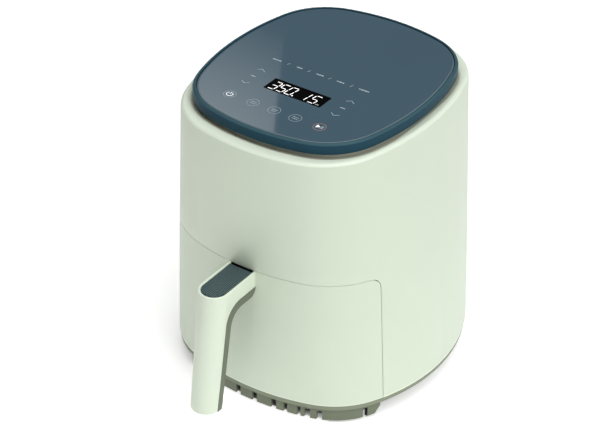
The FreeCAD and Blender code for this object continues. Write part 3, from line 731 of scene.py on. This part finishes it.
def makeCover():
    plan = coverForm["plan"]
    low, top, chamfer, rim, bed = (coverForm[key] for key in ("low", "top", "chamfer", "rim", "bed"))
    well, wellLow = coverForm["well"]
    # inset and height, from the neck up the side, over the rim and down to the tray
    steps = [(3.0, coverForm["neck"]), (3.0, low), (0.7, low), (0.2, low + 0.2), (0.0, low + 0.7),
             (0.0, top - 2.2), (0.12, top - 1.75), (0.42, top - 1.35), (chamfer, top - 0.28),
             (chamfer + 0.5, top - 0.06), (chamfer + 1.0, top), (rim - 0.7, top), (rim - 0.25, top - 0.12),
             (rim - 0.05, top - 0.4), (rim, top - 0.8), (rim, bed), (well, bed), (well, wellLow)]
    piece = stacked("topCover", [(shrink(plan, inset), z) for inset, z in steps])
    finished(piece, "housing", "cover_teal", "top_cover", sharp="skin")
    glass = coverForm["glassTop"]
    steps = [(4.55, bed), (4.35, bed + 0.2), (4.35, glass - 0.5), (4.45, glass - 0.36), (4.95, glass - 0.04),
             (5.1, glass), (6.0, glass), (10.6, glass)]
    panel = stacked("touchPanel", [(shrink(plan, inset), z) for inset, z in steps])
    finished(panel, "housing", "panel_glass", "touch_panel", sharp="skin")


makeHousing()
makeDrawerFront()
makeCover()
print("skin, drawer front and cover made")


# Printed controls on the glass

panelPrint = {"skin": 0.04, "iconX": (-49.6, -23.5, 0.0, 23.1, 49.4), "iconY": -84.0, "iconRadius": 5.9,
              "iconStroke": 0.45, "iconWord": 1.5, "iconWordY": (1.2, -1.4),
              "iconLetters": ((5, 5), (5, 4), (5, 5)), "powerRadius": 3.1, "powerArc": (125, 290),
              "powerLine": (0.6, 4.0), "powerStroke": 0.55, "playX": (-3.2, 0.6), "playHalf": 2.4,
              "pauseX": (1.7, 3.2), "pauseHalf": 2.3, "pauseStroke": 0.6,
              "wordX": (-50.6, -24.8, -1.9, 20.8, 46.7), "wordY": -8.4, "wordLetters": (6, 4, 5, 5, 7),
              "wordSize": 1.9, "slashX": (-37.2, -14.1, 9.0, 32.9), "slashHalf": (0.7, 1.9),
              "slashStroke": 0.4, "arrowX": (-51.0, 48.2), "arrowUp": -32.0, "arrowDown": -59.0,
              "arrowHalf": (4.4, 1.5), "arrowStroke": 0.53, "arrowWord": 1.6, "arrowLetters": 4}
# letter blocks, as shares of the word's size
blocks = {"pitch": 0.86, "wide": (0.22, 0.30), "tall": (0.36, 0.46)}
display = {"box": (-31.9, 30.6, -56.9, -36.6), "corner": (1.2, 5), "wide": 6.6, "tall": 13.4, "bar": 0.74,
           "end": 0.7, "lean": 0.16, "foot": 2.4, "dot": (-1.6, 0.7), "dotRadius": 0.55, "dotStroke": 0.5,
           "digits": ((-25.6, "3"), (-16.6, "5"), (-7.6, "0"), (7.6, "1"), (18.4, "5")),
           "lit": {"0": "abcdef", "1": "bc", "3": "abcdg", "5": "acdfg"},
           "unit": (25.6, 0.6), "unitSize": 1.5, "unitLetters": 3}


class Print:
    # flat shapes a few hundredths of a millimetre thick, gathered into one mesh
    def __init__(self, low):
        self.points = []
        self.faces = []
        self.low = low

    def shape(self, corners):
        area = sum(a[0] * b[1] - b[0] * a[1] for a, b in zip(corners, corners[1:] + corners[:1]))
        corners = corners if area > 0 else corners[::-1]
        first, count = len(self.points), len(corners)
        for z in (self.low, self.low + panelPrint["skin"]):
            self.points += [place(x, y, z) for x, y in corners]
        self.faces.append(tuple(first + i for i in reversed(range(count))))
        self.faces.append(tuple(first + count + i for i in range(count)))
        self.faces += bridged([(first, count), (first + count, count)])

    def line(self, a, b, width):
        a, b = Vector(a), Vector(b)
        side = (b - a).normalized().orthogonal() * width / 2
        self.shape([tuple(a - side), tuple(b - side), tuple(b + side), tuple(a + side)])

    def arc(self, centre, radius, start, sweep, width, steps=40):
        inner, outer = [], []
        for k in range(steps + 1):
            a = math.radians(start + sweep * k / steps)
            spoke = Vector((math.cos(a), math.sin(a)))
            inner.append(tuple(Vector(centre) + spoke * (radius - width / 2)))
            outer.append(tuple(Vector(centre) + spoke * (radius + width / 2)))
        if sweep < 360:
            self.shape(outer + inner[::-1])
        else:
            self.ring(outer[:-1], inner[:-1])

    def ring(self, outer, inner):
        first, count = len(self.points), len(outer)
        for z in (self.low, self.low + panelPrint["skin"]):
            self.points += [place(x, y, z) for x, y in outer + inner]
        lowOut, lowIn, highOut, highIn = (first + count * k for k in range(4))
        self.faces += bridged([(row, count) for row in (lowIn, lowOut, highOut, highIn, lowIn)])

    def chevron(self, x, y, way, width):
        halfX, halfY = panelPrint["arrowHalf"]
        tips = [(x - halfX, y - way * halfY), (x, y + way * halfY), (x + halfX, y - way * halfY)]
        self.shape([(u, v - width / 2) for u, v in tips] + [(u, v + width / 2) for u, v in reversed(tips)])

    def word(self, x, y, letters, size):
        # a row of small blocks in place of lettering
        pitch = size * blocks["pitch"]
        for k in range(letters):
            middle = x + pitch * (k - (letters - 1) / 2)
            wide = size * blocks["wide"][k % 3 > 0]
            tall = size * blocks["tall"][(k + letters) % 2]
            self.shape(boxLoop(middle - wide, middle + wide, y - tall, y + tall))

    def made(self, name, material):
        piece = pieceFrom(name, self.points, self.faces)
        finished(piece, "housing", None, material=material)


def makePrint():
    look = panelPrint
    pale, faint, bright, amber = (Print(coverForm["glassTop"]) for k in range(4))
    y, last = look["iconY"], len(look["iconX"]) - 1
    for k, x in enumerate(look["iconX"]):
        ink = amber if k == last else faint
        ink.arc((x, y), look["iconRadius"], 0, 360, look["iconStroke"])
        if 0 < k < last:
            for rise, letters in zip(look["iconWordY"], look["iconLetters"][k - 1]):
                faint.word(x, y + rise, letters, look["iconWord"])
    x = look["iconX"][0]
    bright.arc((x, y), look["powerRadius"], *look["powerArc"], look["powerStroke"])
    bright.line(*[(x, y + rise) for rise in look["powerLine"]], look["powerStroke"])
    x = look["iconX"][last]
    (flat, tip), half = look["playX"], look["playHalf"]
    bright.shape([(x + flat, y - half), (x + tip, y), (x + flat, y + half)])
    half = look["pauseHalf"]
    for step in look["pauseX"]:
        pale.line((x + step, y - half), (x + step, y + half), look["pauseStroke"])
    y = look["wordY"]
    for x, letters in zip(look["wordX"], look["wordLetters"]):
        pale.word(x, y, letters, look["wordSize"])
    halfX, halfY = look["slashHalf"]
    for x in look["slashX"]:
        pale.line((x - halfX, y - halfY), (x + halfX, y + halfY), look["slashStroke"])
    up, down = look["arrowUp"], look["arrowDown"]
    for x in look["arrowX"]:
        pale.chevron(x, up, 1, look["arrowStroke"])
        pale.chevron(x, down, -1, look["arrowStroke"])
        pale.word(x, (up + down) / 2, look["arrowLetters"], look["arrowWord"])
    pale.made("panelMarks", inkWhite)
    faint.made("panelRings", inkFaint)
    bright.made("panelBrightMarks", inkBright)
    amber.made("panelAmberRing", inkAmber)


def makeDisplay():
    low = coverForm["glassTop"]
    high = low + panelPrint["skin"]
    window = prism("displayWindow", boxLoop(*display["box"], *display["corner"]), low, high, place)
    finished(window, "housing", None, material=looks["display_black"])
    digits = Print(high)
    foot = display["box"][2] + display["foot"]
    wide, tall, bar = display["wide"] / 2, display["tall"] / 2, display["bar"]
    end = bar * display["end"]
    level = {"a": 2 * tall, "g": tall, "d": 0.0}

    def segment(middle, letter):
        if letter in level:
            a, b = Vector((-wide + end, level[letter])), Vector((wide - end, level[letter]))
        else:
            x = wide if letter in "bc" else -wide
            y = tall if letter in "bf" else 0.0
            a, b = Vector((x, y + end)), Vector((x, y + tall - end))
        tip = (b - a).normalized() * bar / 2
        side = tip.orthogonal()
        corners = [a, a + tip - side, b - tip - side, b, b - tip + side, a + tip + side]
        digits.shape([(middle + p.x + p.y * display["lean"], foot + p.y) for p in corners])

    for middle, digit in display["digits"]:
        for letter in display["lit"][digit]:
            segment(middle, letter)
    x, rise = display["dot"]
    digits.arc((x, foot + rise), display["dotRadius"], 0, 360, display["dotStroke"], steps=12)
    digits.made("displayDigits", digitWhite)
    unit = Print(high)
    x, rise = display["unit"]
    unit.word(x, foot + rise, display["unitLetters"], display["unitSize"])
    unit.made("displayUnit", inkWhite)


makePrint()
makeDisplay()
print("panel print made")


# Handle

grip = {"half": 15.2, "tipHigh": -193.3, "tipLow": -209.7, "low": 35.5, "high": 160.0, "root": -132.6,
        "edge": 1.0, "edgeAngle": 50, "inlayHalf": 12.85, "inlayTip": -190.9, "inlayRear": -137.6,
        "inlayDeep": 1.6, "inlayLow": 1.5, "inlayGap": 0.45, "inlayEdge": 0.25, "slitY": -137.7,
        "slitDeep": 7.0, "far": -120.0, "above": 165.0, "lineX": 15.6, "lineHalf": 1.2,
        "lineY": (-136.9, -136.2), "lineZ": (130.0, 170.0), "curl": 8.0, "curlY": (-144.0, -128.0),
        "curlZ": (134.0, 143.2), "sweep": 60}
# side profiles: depth, height, corner radius
underShell = [(-100, 143.5, 0), (-178.1, 143.5, 22), (-198.9, 25.7, 0), (-100, 25.7, 0)]
fingerSpace = [(-100, 135.3, 0), (-171.5, 135.3, 17), (-192.9, 25.7, 0), (-100, 25.7, 0)]


def noseLoop(tip, half, back, steps=36):
    centre = tip + half
    turn = (math.pi * k / steps for k in range(steps + 1))
    nose = [(half * math.cos(a), centre - half * math.sin(a)) for a in turn]
    return [(half, back)] + nose + [(-half, back)]


def noseBlock(name):
    low, high = (noseLoop(grip[tip], grip["half"], grip["root"]) for tip in ("tipLow", "tipHigh"))
    return loft(name, low, high, grip["low"], grip["high"], place)


def profilePrism(corners, steps=14):
    return prism("profile", rounded(corners, steps), -grip["sweep"], grip["sweep"], sideways)


def makeHandle():
    high, above, far = grip["high"], grip["above"], grip["far"]
    half, tip, gap = grip["inlayHalf"], grip["inlayTip"], grip["inlayGap"]
    front = carved(noseBlock("handleFront"), profilePrism(underShell), "DIFFERENCE")
    front = cut(front, noseLoop(tip, half, far), high - grip["inlayDeep"], above, place)
    front = cut(front, boxLoop(-half, half, grip["slitY"], far), high - grip["slitDeep"], above, place)
    front = softEdges(front, grip["edge"], 3, grip["edgeAngle"])
    for x in (-grip["lineX"], grip["lineX"]):
        line = boxLoop(x - grip["lineHalf"], x + grip["lineHalf"], *grip["lineY"])
        front = cut(front, line, *grip["lineZ"], place)
    finished(front, "drawer", "body_green", "handle_front", sharp="handle")
    back = carved(noseBlock("handleBack"), profilePrism(underShell), "INTERSECT")
    back = carved(back, profilePrism(fingerSpace), "DIFFERENCE")
    steps, radius = 10, grip["curl"]
    (y, root), (low, z) = grip["curlY"], grip["curlZ"]
    turn = (math.pi / 2 * (k / steps - 1) for k in range(steps + 1))
    curl = [(y + radius * math.cos(a), z + radius * math.sin(a)) for a in turn]
    curl += [(root, z), (root, low), (y, low)]
    back = cut(back, curl, -grip["sweep"], grip["sweep"], sideways)
    back = softEdges(back, grip["edge"], 3, grip["edgeAngle"])
    finished(back, "drawer", "base_grey", "handle_back", sharp="handle")
    pad = noseLoop(tip + gap, half - gap, grip["inlayRear"])
    inlay = prism("handleInlay", pad, high - grip["inlayLow"], high - gap, place)
    inlay = softEdges(inlay, grip["inlayEdge"], 2, grip["edgeAngle"])
    finished(inlay, "drawer", "inlay_teal", "handle_inlay", sharp="handle")


makeHandle()
print("handle made")


# Geometry node helpers

def newTree(name, inputs):
    tree = bpy.data.node_groups.new(name, "GeometryNodeTree")
    tree.interface.new_socket("Geometry", in_out="INPUT", socket_type="NodeSocketGeometry")
    keys = {}
    for label, kind, value in inputs:
        item = tree.interface.new_socket(label, in_out="INPUT", socket_type=kind)
        if value is not None:
            item.default_value = value
        keys[label] = item.identifier
    tree.interface.new_socket("Geometry", in_out="OUTPUT", socket_type="NodeSocketGeometry")
    source = tree.nodes.new("NodeGroupInput")
    ports = {socket.name: Sock(tree, socket) for socket in source.outputs if socket.name}
    return tree, ports, keys


def endTree(result, material):
    solid = result.node("GeometryNodeRealizeInstances", {}, {"Geometry": result})
    painted = solid.node("GeometryNodeSetMaterial", {}, {"Geometry": solid, "Material": material})
    out = painted.tree.nodes.new("NodeGroupOutput")
    painted.tree.links.new(painted.socket, out.inputs[0])


def grown(name, points, tree, keys, values):
    piece = pieceFrom(name, points, [])
    change = piece.modifiers.new("grow", "NODES")
    change.node_group = tree
    for label, value in values.items():
        change[keys[label]] = value
    return bake(piece)


def vectorOf(start, **parts):
    return start.node("ShaderNodeCombineXYZ", {}, parts)


def moved(shape, offset):
    return shape.node("GeometryNodeTransform", {}, {"Geometry": shape, "Translation": offset})


def onPoints(points, instance, turn=(0.0, 0.0, 0.0)):
    return points.node("GeometryNodeInstanceOnPoints", {},
                       {"Points": points, "Instance": instance, "Rotation": turn})


recess = {"long": 1.1, "thin": 0.24}  # of the head's radius


def screwTree():
    number = "NodeSocketFloat"
    tree, ports, keys = newTree("screwRow", [
        ("Head Radius", number, 0.0036), ("Head Height", number, 0.002), ("Shank Radius", number, 0.0017),
        ("Shank Length", number, 0.012), ("Recess", number, 0.0009), ("Turn", "NodeSocketVector", (0, 0, 0)),
        ("Material", "NodeSocketMaterial", None)])
    start, radius, tall = ports["Geometry"], ports["Head Radius"], ports["Head Height"]
    shank, length = ports["Shank Radius"], ports["Shank Length"]
    head = start.node("GeometryNodeMeshCylinder", {}, {"Vertices": 28, "Radius": radius, "Depth": tall})
    head = moved(head, vectorOf(start, Z=0.0 - tall / 2))
    long, thin = radius * recess["long"], radius * recess["thin"]
    slots = []
    for x, y in ((long, thin), (thin, long)):
        size = vectorOf(start, X=x, Y=y, Z=ports["Recess"] * 2)
        bar = start.node("GeometryNodeMeshCube", {}, {"Size": size})
        slots.append(moved(bar, vectorOf(start, Z=0.0 - tall)))
    head = head.node("GeometryNodeMeshBoolean", {"operation": "DIFFERENCE", "solver": "EXACT"},
                     {"Mesh 1": head, "Mesh 2": slots})
    pin = start.node("GeometryNodeMeshCylinder", {}, {"Vertices": 20, "Radius": shank, "Depth": length})
    pin = moved(pin, vectorOf(start, Z=length / 2))
    screw = head.node("GeometryNodeMeshBoolean", {"operation": "UNION", "solver": "EXACT"},
                      {"Mesh 2": [head, pin]})
    endTree(onPoints(start, screw, ports["Turn"]), ports["Material"])
    return tree, keys


# spots, turn, head radius, shank radius, shank length
headDown = (0, 0, 0)
screwPlaces = {
    "base_screws": ([(x, y, 15.6) for x, y in ((120.0, 20.0), (-120.0, 20.0), (106.0, 84.0), (-106.0, 84.0))],
                    headDown, 3.6, 1.7, 22.0),
    "cover_screws": ([(x, y, 288.5) for x in (-82.0, 82.0) for y in (-62.0, 72.0)], headDown, 3.6, 1.7, 4.8),
    "motor_screws": ([(x, y, 232.0) for x in (-24.0, 24.0) for y in (-24.0, 24.0)], headDown, 3.4, 1.7, 8.0),
    "drawer_screws": ([(-70.0, -114.4, 23.6), (0.0, -124.0, 23.6), (70.0, -114.4, 23.6)],
                      headDown, 3.4, 1.7, 12.0),
    "board_screws": ([(-103.6, y, z) for y in (-38.0, 38.0) for z in (202.0, 262.0)],
                     (0, -math.pi / 2, 0), 3.2, 1.4, 8.0),
    "handle_screws": ([(x, -127.8, 147.5) for x in (-8.0, 8.0)], (math.pi / 2, 0, 0), 3.6, 1.7, 21.2),
}


def makeScrews():
    tree, keys = screwTree()
    for node, (spots, turn, head, shank, length) in screwPlaces.items():
        piece = grown(node + "_turned", [place(*spot) for spot in spots], tree, keys, {
            "Head Radius": head * mm, "Shank Radius": shank * mm, "Shank Length": length * mm,
            "Turn": turn, "Material": looks["screw_steel"]})
        finished(piece, bodyOf[node], "screw_steel", node, sharp="screw")


dots = {"pitch": 1.9, "radius": 0.78, "taper": 0.45, "height": 0.3, "margin": 1.3, "rear": -138.6,
        "sunk": 0.5}


def dotTree():
    number, whole = "NodeSocketFloat", "NodeSocketInt"
    tree, ports, keys = newTree("dotField", [
        ("Width", number, 0.024), ("Length", number, 0.05), ("Across", whole, 24), ("Along", whole, 50),
        ("Dot Radius", number, 0.0003), ("Dot Height", number, 0.0002), ("Nose", number, 0.012),
        ("Centre", "NodeSocketVector", (0, 0, 0)), ("Material", "NodeSocketMaterial", None)])
    start, nose, radius = ports["Geometry"], ports["Nose"], ports["Dot Radius"]
    grid = start.node("GeometryNodeMeshGrid", {}, {
        "Size X": ports["Width"], "Size Y": ports["Length"],
        "Vertices X": ports["Across"], "Vertices Y": ports["Along"]})
    x, y, z = axesOf(start.node("GeometryNodeInputPosition"))
    past = 0.0 - y - (ports["Length"] / 2 - nose)
    past = past * (past > 0.0)
    outside = (x * x + past * past) > (nose * nose)
    kept = grid.node("GeometryNodeDeleteGeometry", {"domain": "POINT"},
                     {"Geometry": grid, "Selection": outside})
    dot = start.node("GeometryNodeMeshCone", {}, {"Vertices": 4, "Radius Top": radius * dots["taper"],
                                                  "Radius Bottom": radius, "Depth": ports["Dot Height"]})
    endTree(moved(onPoints(kept, dot), ports["Centre"]), ports["Material"])
    return tree, keys


def makeInlayDots():
    tree, keys = dotTree()
    half, tip = grip["inlayHalf"] - dots["margin"], grip["inlayTip"] + dots["margin"]
    length = dots["rear"] - tip
    centre = place(0, (tip + dots["rear"]) / 2, grip["high"] - dots["sunk"])
    piece = grown("handleInlayDots", [(0, 0, 0)], tree, keys, {
        "Width": 2 * half * mm, "Length": length * mm, "Across": int(2 * half / dots["pitch"]) + 1,
        "Along": int(length / dots["pitch"]) + 1, "Dot Radius": dots["radius"] * mm,
        "Dot Height": dots["height"] * mm, "Nose": half * mm, "Centre": tuple(centre), "Material": dotTeal})
    finished(piece, "drawer", None, material=dotTeal)


def slatTree():
    number = "NodeSocketFloat"
    tree, ports, keys = newTree("slatRow", [
        ("Length", number, 0.078), ("Depth", number, 0.0072), ("Thickness", number, 0.0016),
        ("Pitch", number, 0.0069), ("Count", "NodeSocketInt", 4), ("Tilt", "NodeSocketVector", (0.61, 0, 0)),
        ("Material", "NodeSocketMaterial", None)])
    start = ports["Geometry"]
    line = start.node("GeometryNodeMeshLine", {"mode": "OFFSET"},
                      {"Count": ports["Count"], "Offset": vectorOf(start, Z=ports["Pitch"])})
    size = vectorOf(start, X=ports["Length"], Y=ports["Depth"], Z=ports["Thickness"])
    slat = start.node("GeometryNodeMeshCube", {}, {"Size": size})
    endTree(onPoints(start, onPoints(line, slat, ports["Tilt"])), ports["Material"])
    return tree, keys


# loops are left, right, low, high and corner radius; the others are depths and heights
grille = {"bezel": (-47, 47, 171, 217, 4), "bezelY": (130.2, 140), "hole": (-38, 38, 180, 208, 2),
          "plug": (-41.6, 41.6, 176.4, 211.6, 2), "plugY": (100, 150), "rib": (-0.9, 0.9, 178, 210),
          "ribY": (131.4, 135.2), "wallZ": (150.0, 240.0), "proud": 1.2, "fit": 0.05,
          "slats": (0, 133.4, 183.6), "edge": 0.35, "slatEdge": 0.3, "edgeAngle": 50}


def wallBlock(proud):
    return stacked("wallBlock", [(planAt(z, -proud), z) for z in grille["wallZ"]])


def makeGrille():
    bezel = prism("exhaustBezel", boxLoop(*grille["bezel"]), *grille["bezelY"], rearward)
    bezel = cut(bezel, boxLoop(*grille["hole"]), *rear["through"], rearward)
    bezel = carved(bezel, wallBlock(grille["proud"]), "INTERSECT")
    inside = cut(wallBlock(grille["fit"]), boxLoop(*grille["plug"]), *grille["plugY"], rearward)
    bezel = carved(bezel, inside, "DIFFERENCE")
    rib = prism("rib", boxLoop(*grille["rib"]), *grille["ribY"], rearward)
    bezel = softEdges(carved(bezel, rib, "UNION"), grille["edge"], 2, grille["edgeAngle"])
    finished(bezel, "housing", "inner_grey", "exhaust_grille", sharp="grille")
    tree, keys = slatTree()
    slats = grown("exhaustSlats", [place(*grille["slats"])], tree, keys, {"Material": looks["inner_grey"]})
    slats = softEdges(slats, grille["slatEdge"], 2, grille["edgeAngle"])
    finished(slats, "housing", "inner_grey", sharp="grille")


makeScrews()
makeInlayDots()
makeGrille()
print("repeated pieces grown")


# Every other node keeps its shape: joined, smoothed copies with their own finish

def carry(node):
    mesh = cleaned(nodes[node].data.copy(), mend["raw"], flat=mend["carriedFlat"])
    if "custom_normal" in mesh.attributes:
        mesh.attributes.remove(mesh.attributes["custom_normal"])
    finished(newPiece(node + "_made", mesh), bodyOf[node], slotOf[node], node, sharp="carried")


replaced = {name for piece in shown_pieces() for name in piece.get("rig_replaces", [])}
carried = sorted(set(nodes) - replaced)
for node in carried:
    carry(node)
print("carried over:", len(carried))


# Stage

studio = {"azimuth": 33.83, "elevation": 34.35, "roll": 0.752, "distance": 1.8937,
          "target": place(0, 0, 138.4), "focalPixels": 1943.87, "photoWidth": 608, "sensor": 36.0,
          "shift": (-0.0344, 0.0031), "reach": 60.0, "world": 0.06}
# direction towards the light, spread in degrees, power
suns = {"keySun": ((0.74, -0.2, 0.61), 48, 1.35), "topSun": ((0.1, 0.0, 1.0), 52, 1.9),
        "frontSun": ((0.35, -0.93, 0.12), 50, 0.44)}
glassCard = {"spot": (-1.1408, 1.1299, 1.2084), "facing": (0.5195, -0.6416, -0.5644), "lean": -8.31,
             "size": (0.5, 0.7), "spread": 12.55, "power": 0.0175}
# the sizes of floor and backdrop are in metres, those of the glow in mm
stage = {"half": 9.0, "color": grey(0.955), "shade": grey(0.945), "patches": (3.0, 2.0), "glow": 0.40,
         "near": grey(1.0), "far": grey(0.55), "dark": grey(0.0), "strip": grey(1.8), "centre": (0, -20, 0),
         "standing": (108.0, 120.0), "fade": (350.0, 900.0), "stripArc": (233.5, 235.0),
         "stripX": (-73.5, 83.0), "stripReach": 127.5, "ring": 8.9, "sides": 96, "wall": 6.0,
         "white": grey(1.0), "paint": grey(0.9)}


def makeCamera():
    a, e, roll = (math.radians(studio[key]) for key in ("azimuth", "elevation", "roll"))
    back = Vector((math.sin(a) * math.cos(e), -math.cos(a) * math.cos(e), math.sin(e)))
    right = Vector((math.cos(a), math.sin(a), 0))
    up = back.cross(right)
    turnedRight = right * math.cos(roll) + up * math.sin(roll)
    turnedUp = back.cross(turnedRight)
    lens = bpy.data.cameras.new("camera")
    lens.lens = studio["focalPixels"] * studio["sensor"] / studio["photoWidth"]
    lens.sensor_width = studio["sensor"]
    lens.shift_x, lens.shift_y = studio["shift"]
    lens.clip_end = studio["reach"]
    camera = bpy.data.objects.new("camera", lens)
    camera.matrix_world = Matrix((turnedRight, turnedUp, back)).transposed().to_4x4()
    camera.location = studio["target"] + back * studio["distance"]
    scene.collection.objects.link(camera)
    scene.camera = camera


def softSun(name, source, spread, power):
    lamp = bpy.data.lights.new(name, "SUN")
    lamp.angle, lamp.energy = math.radians(spread), power
    sun = bpy.data.objects.new(name, lamp)
    sun.rotation_euler = (-Vector(source)).to_track_quat("-Z", "Y").to_euler()
    scene.collection.objects.link(sun)


def lightCard(name, spot, facing, lean, size, spread, power):
    # card behind the object, seen only as the bright patch that fades out in the glass
    lamp = bpy.data.lights.new(name, "AREA")
    lamp.shape = "RECTANGLE"
    lamp.size, lamp.size_y = size
    lamp.spread, lamp.energy = math.radians(spread), power
    card = bpy.data.objects.new(name, lamp)
    turned = Vector(facing).to_track_quat("-Z", "Y").to_matrix().to_4x4()
    card.matrix_world = Matrix.Translation(spot) @ turned @ Matrix.Rotation(math.radians(lean), 4, "Z")
    card.visible_camera = False
    scene.collection.objects.link(card)


def makeFloor():
    half = stage["half"]
    corners = [(x, y, 0.0) for x, y in boxLoop(-half, half, -half, half)]
    floor = pieceFrom("floor", corners, [(0, 1, 2, 3)])
    paint, shader, coords = newMaterial("floorPaint", {"Roughness": 0.9, "Specular IOR Level": 0.1,
                                                       "Emission Strength": stage["glow"]})
    # the floor glows a little, most under the slots of the skirt, not where the object stands on it
    away, reach = farFrom(coords, stage["centre"]), farFrom(coords, (0, skirtCentre, 0))
    glow = mixed(ramped(away, *stage["fade"]), stage["near"], stage["far"])
    glow = mixed(ramped(away, *stage["standing"]), stage["dark"], glow)
    strip = ramped(reach, *stage["stripArc"]) * (away < stage["stripReach"])
    strip = strip * between(bodyAxes(coords)[0], *stage["stripX"])
    feed(shader, "Emission Color", mixed(strip, glow, stage["strip"]))
    feed(shader, "Base Color", mixed(noise(coords, *stage["patches"]), stage["shade"], stage["color"]))
    floor.data.materials.append(paint)


def makeBackdrop():
    sides = stage["sides"]
    points = [(x, y, z) for z in (0.0, stage["wall"]) for x, y in circle(stage["ring"], sides)]
    backdrop = pieceFrom("backdrop", points, bridged([(0, sides), (sides, sides)]))
    paint, shader, coords = newMaterial("backdropPaint", {
        "Base Color": stage["paint"], "Roughness": 0.9, "Emission Color": stage["white"],
        "Emission Strength": 1.0})
    backdrop.data.materials.append(paint)
    backdrop.visible_shadow = backdrop.visible_diffuse = backdrop.visible_glossy = False


def makeLights():
    world = bpy.data.worlds.new("studio")
    world.use_nodes = True
    sky = world.node_tree.nodes["Background"]
    sky.inputs["Color"].default_value = stage["white"]
    sky.inputs["Strength"].default_value = studio["world"]
    scene.world = world
    for name, (source, spread, power) in suns.items():
        softSun(name, source, spread, power)
    lightCard("glassCard", **glassCard)
    scene.view_settings.view_transform = "Standard"
    scene.view_settings.look = "None"


makeCamera()
makeFloor()
makeBackdrop()
makeLights()
print("stage set")
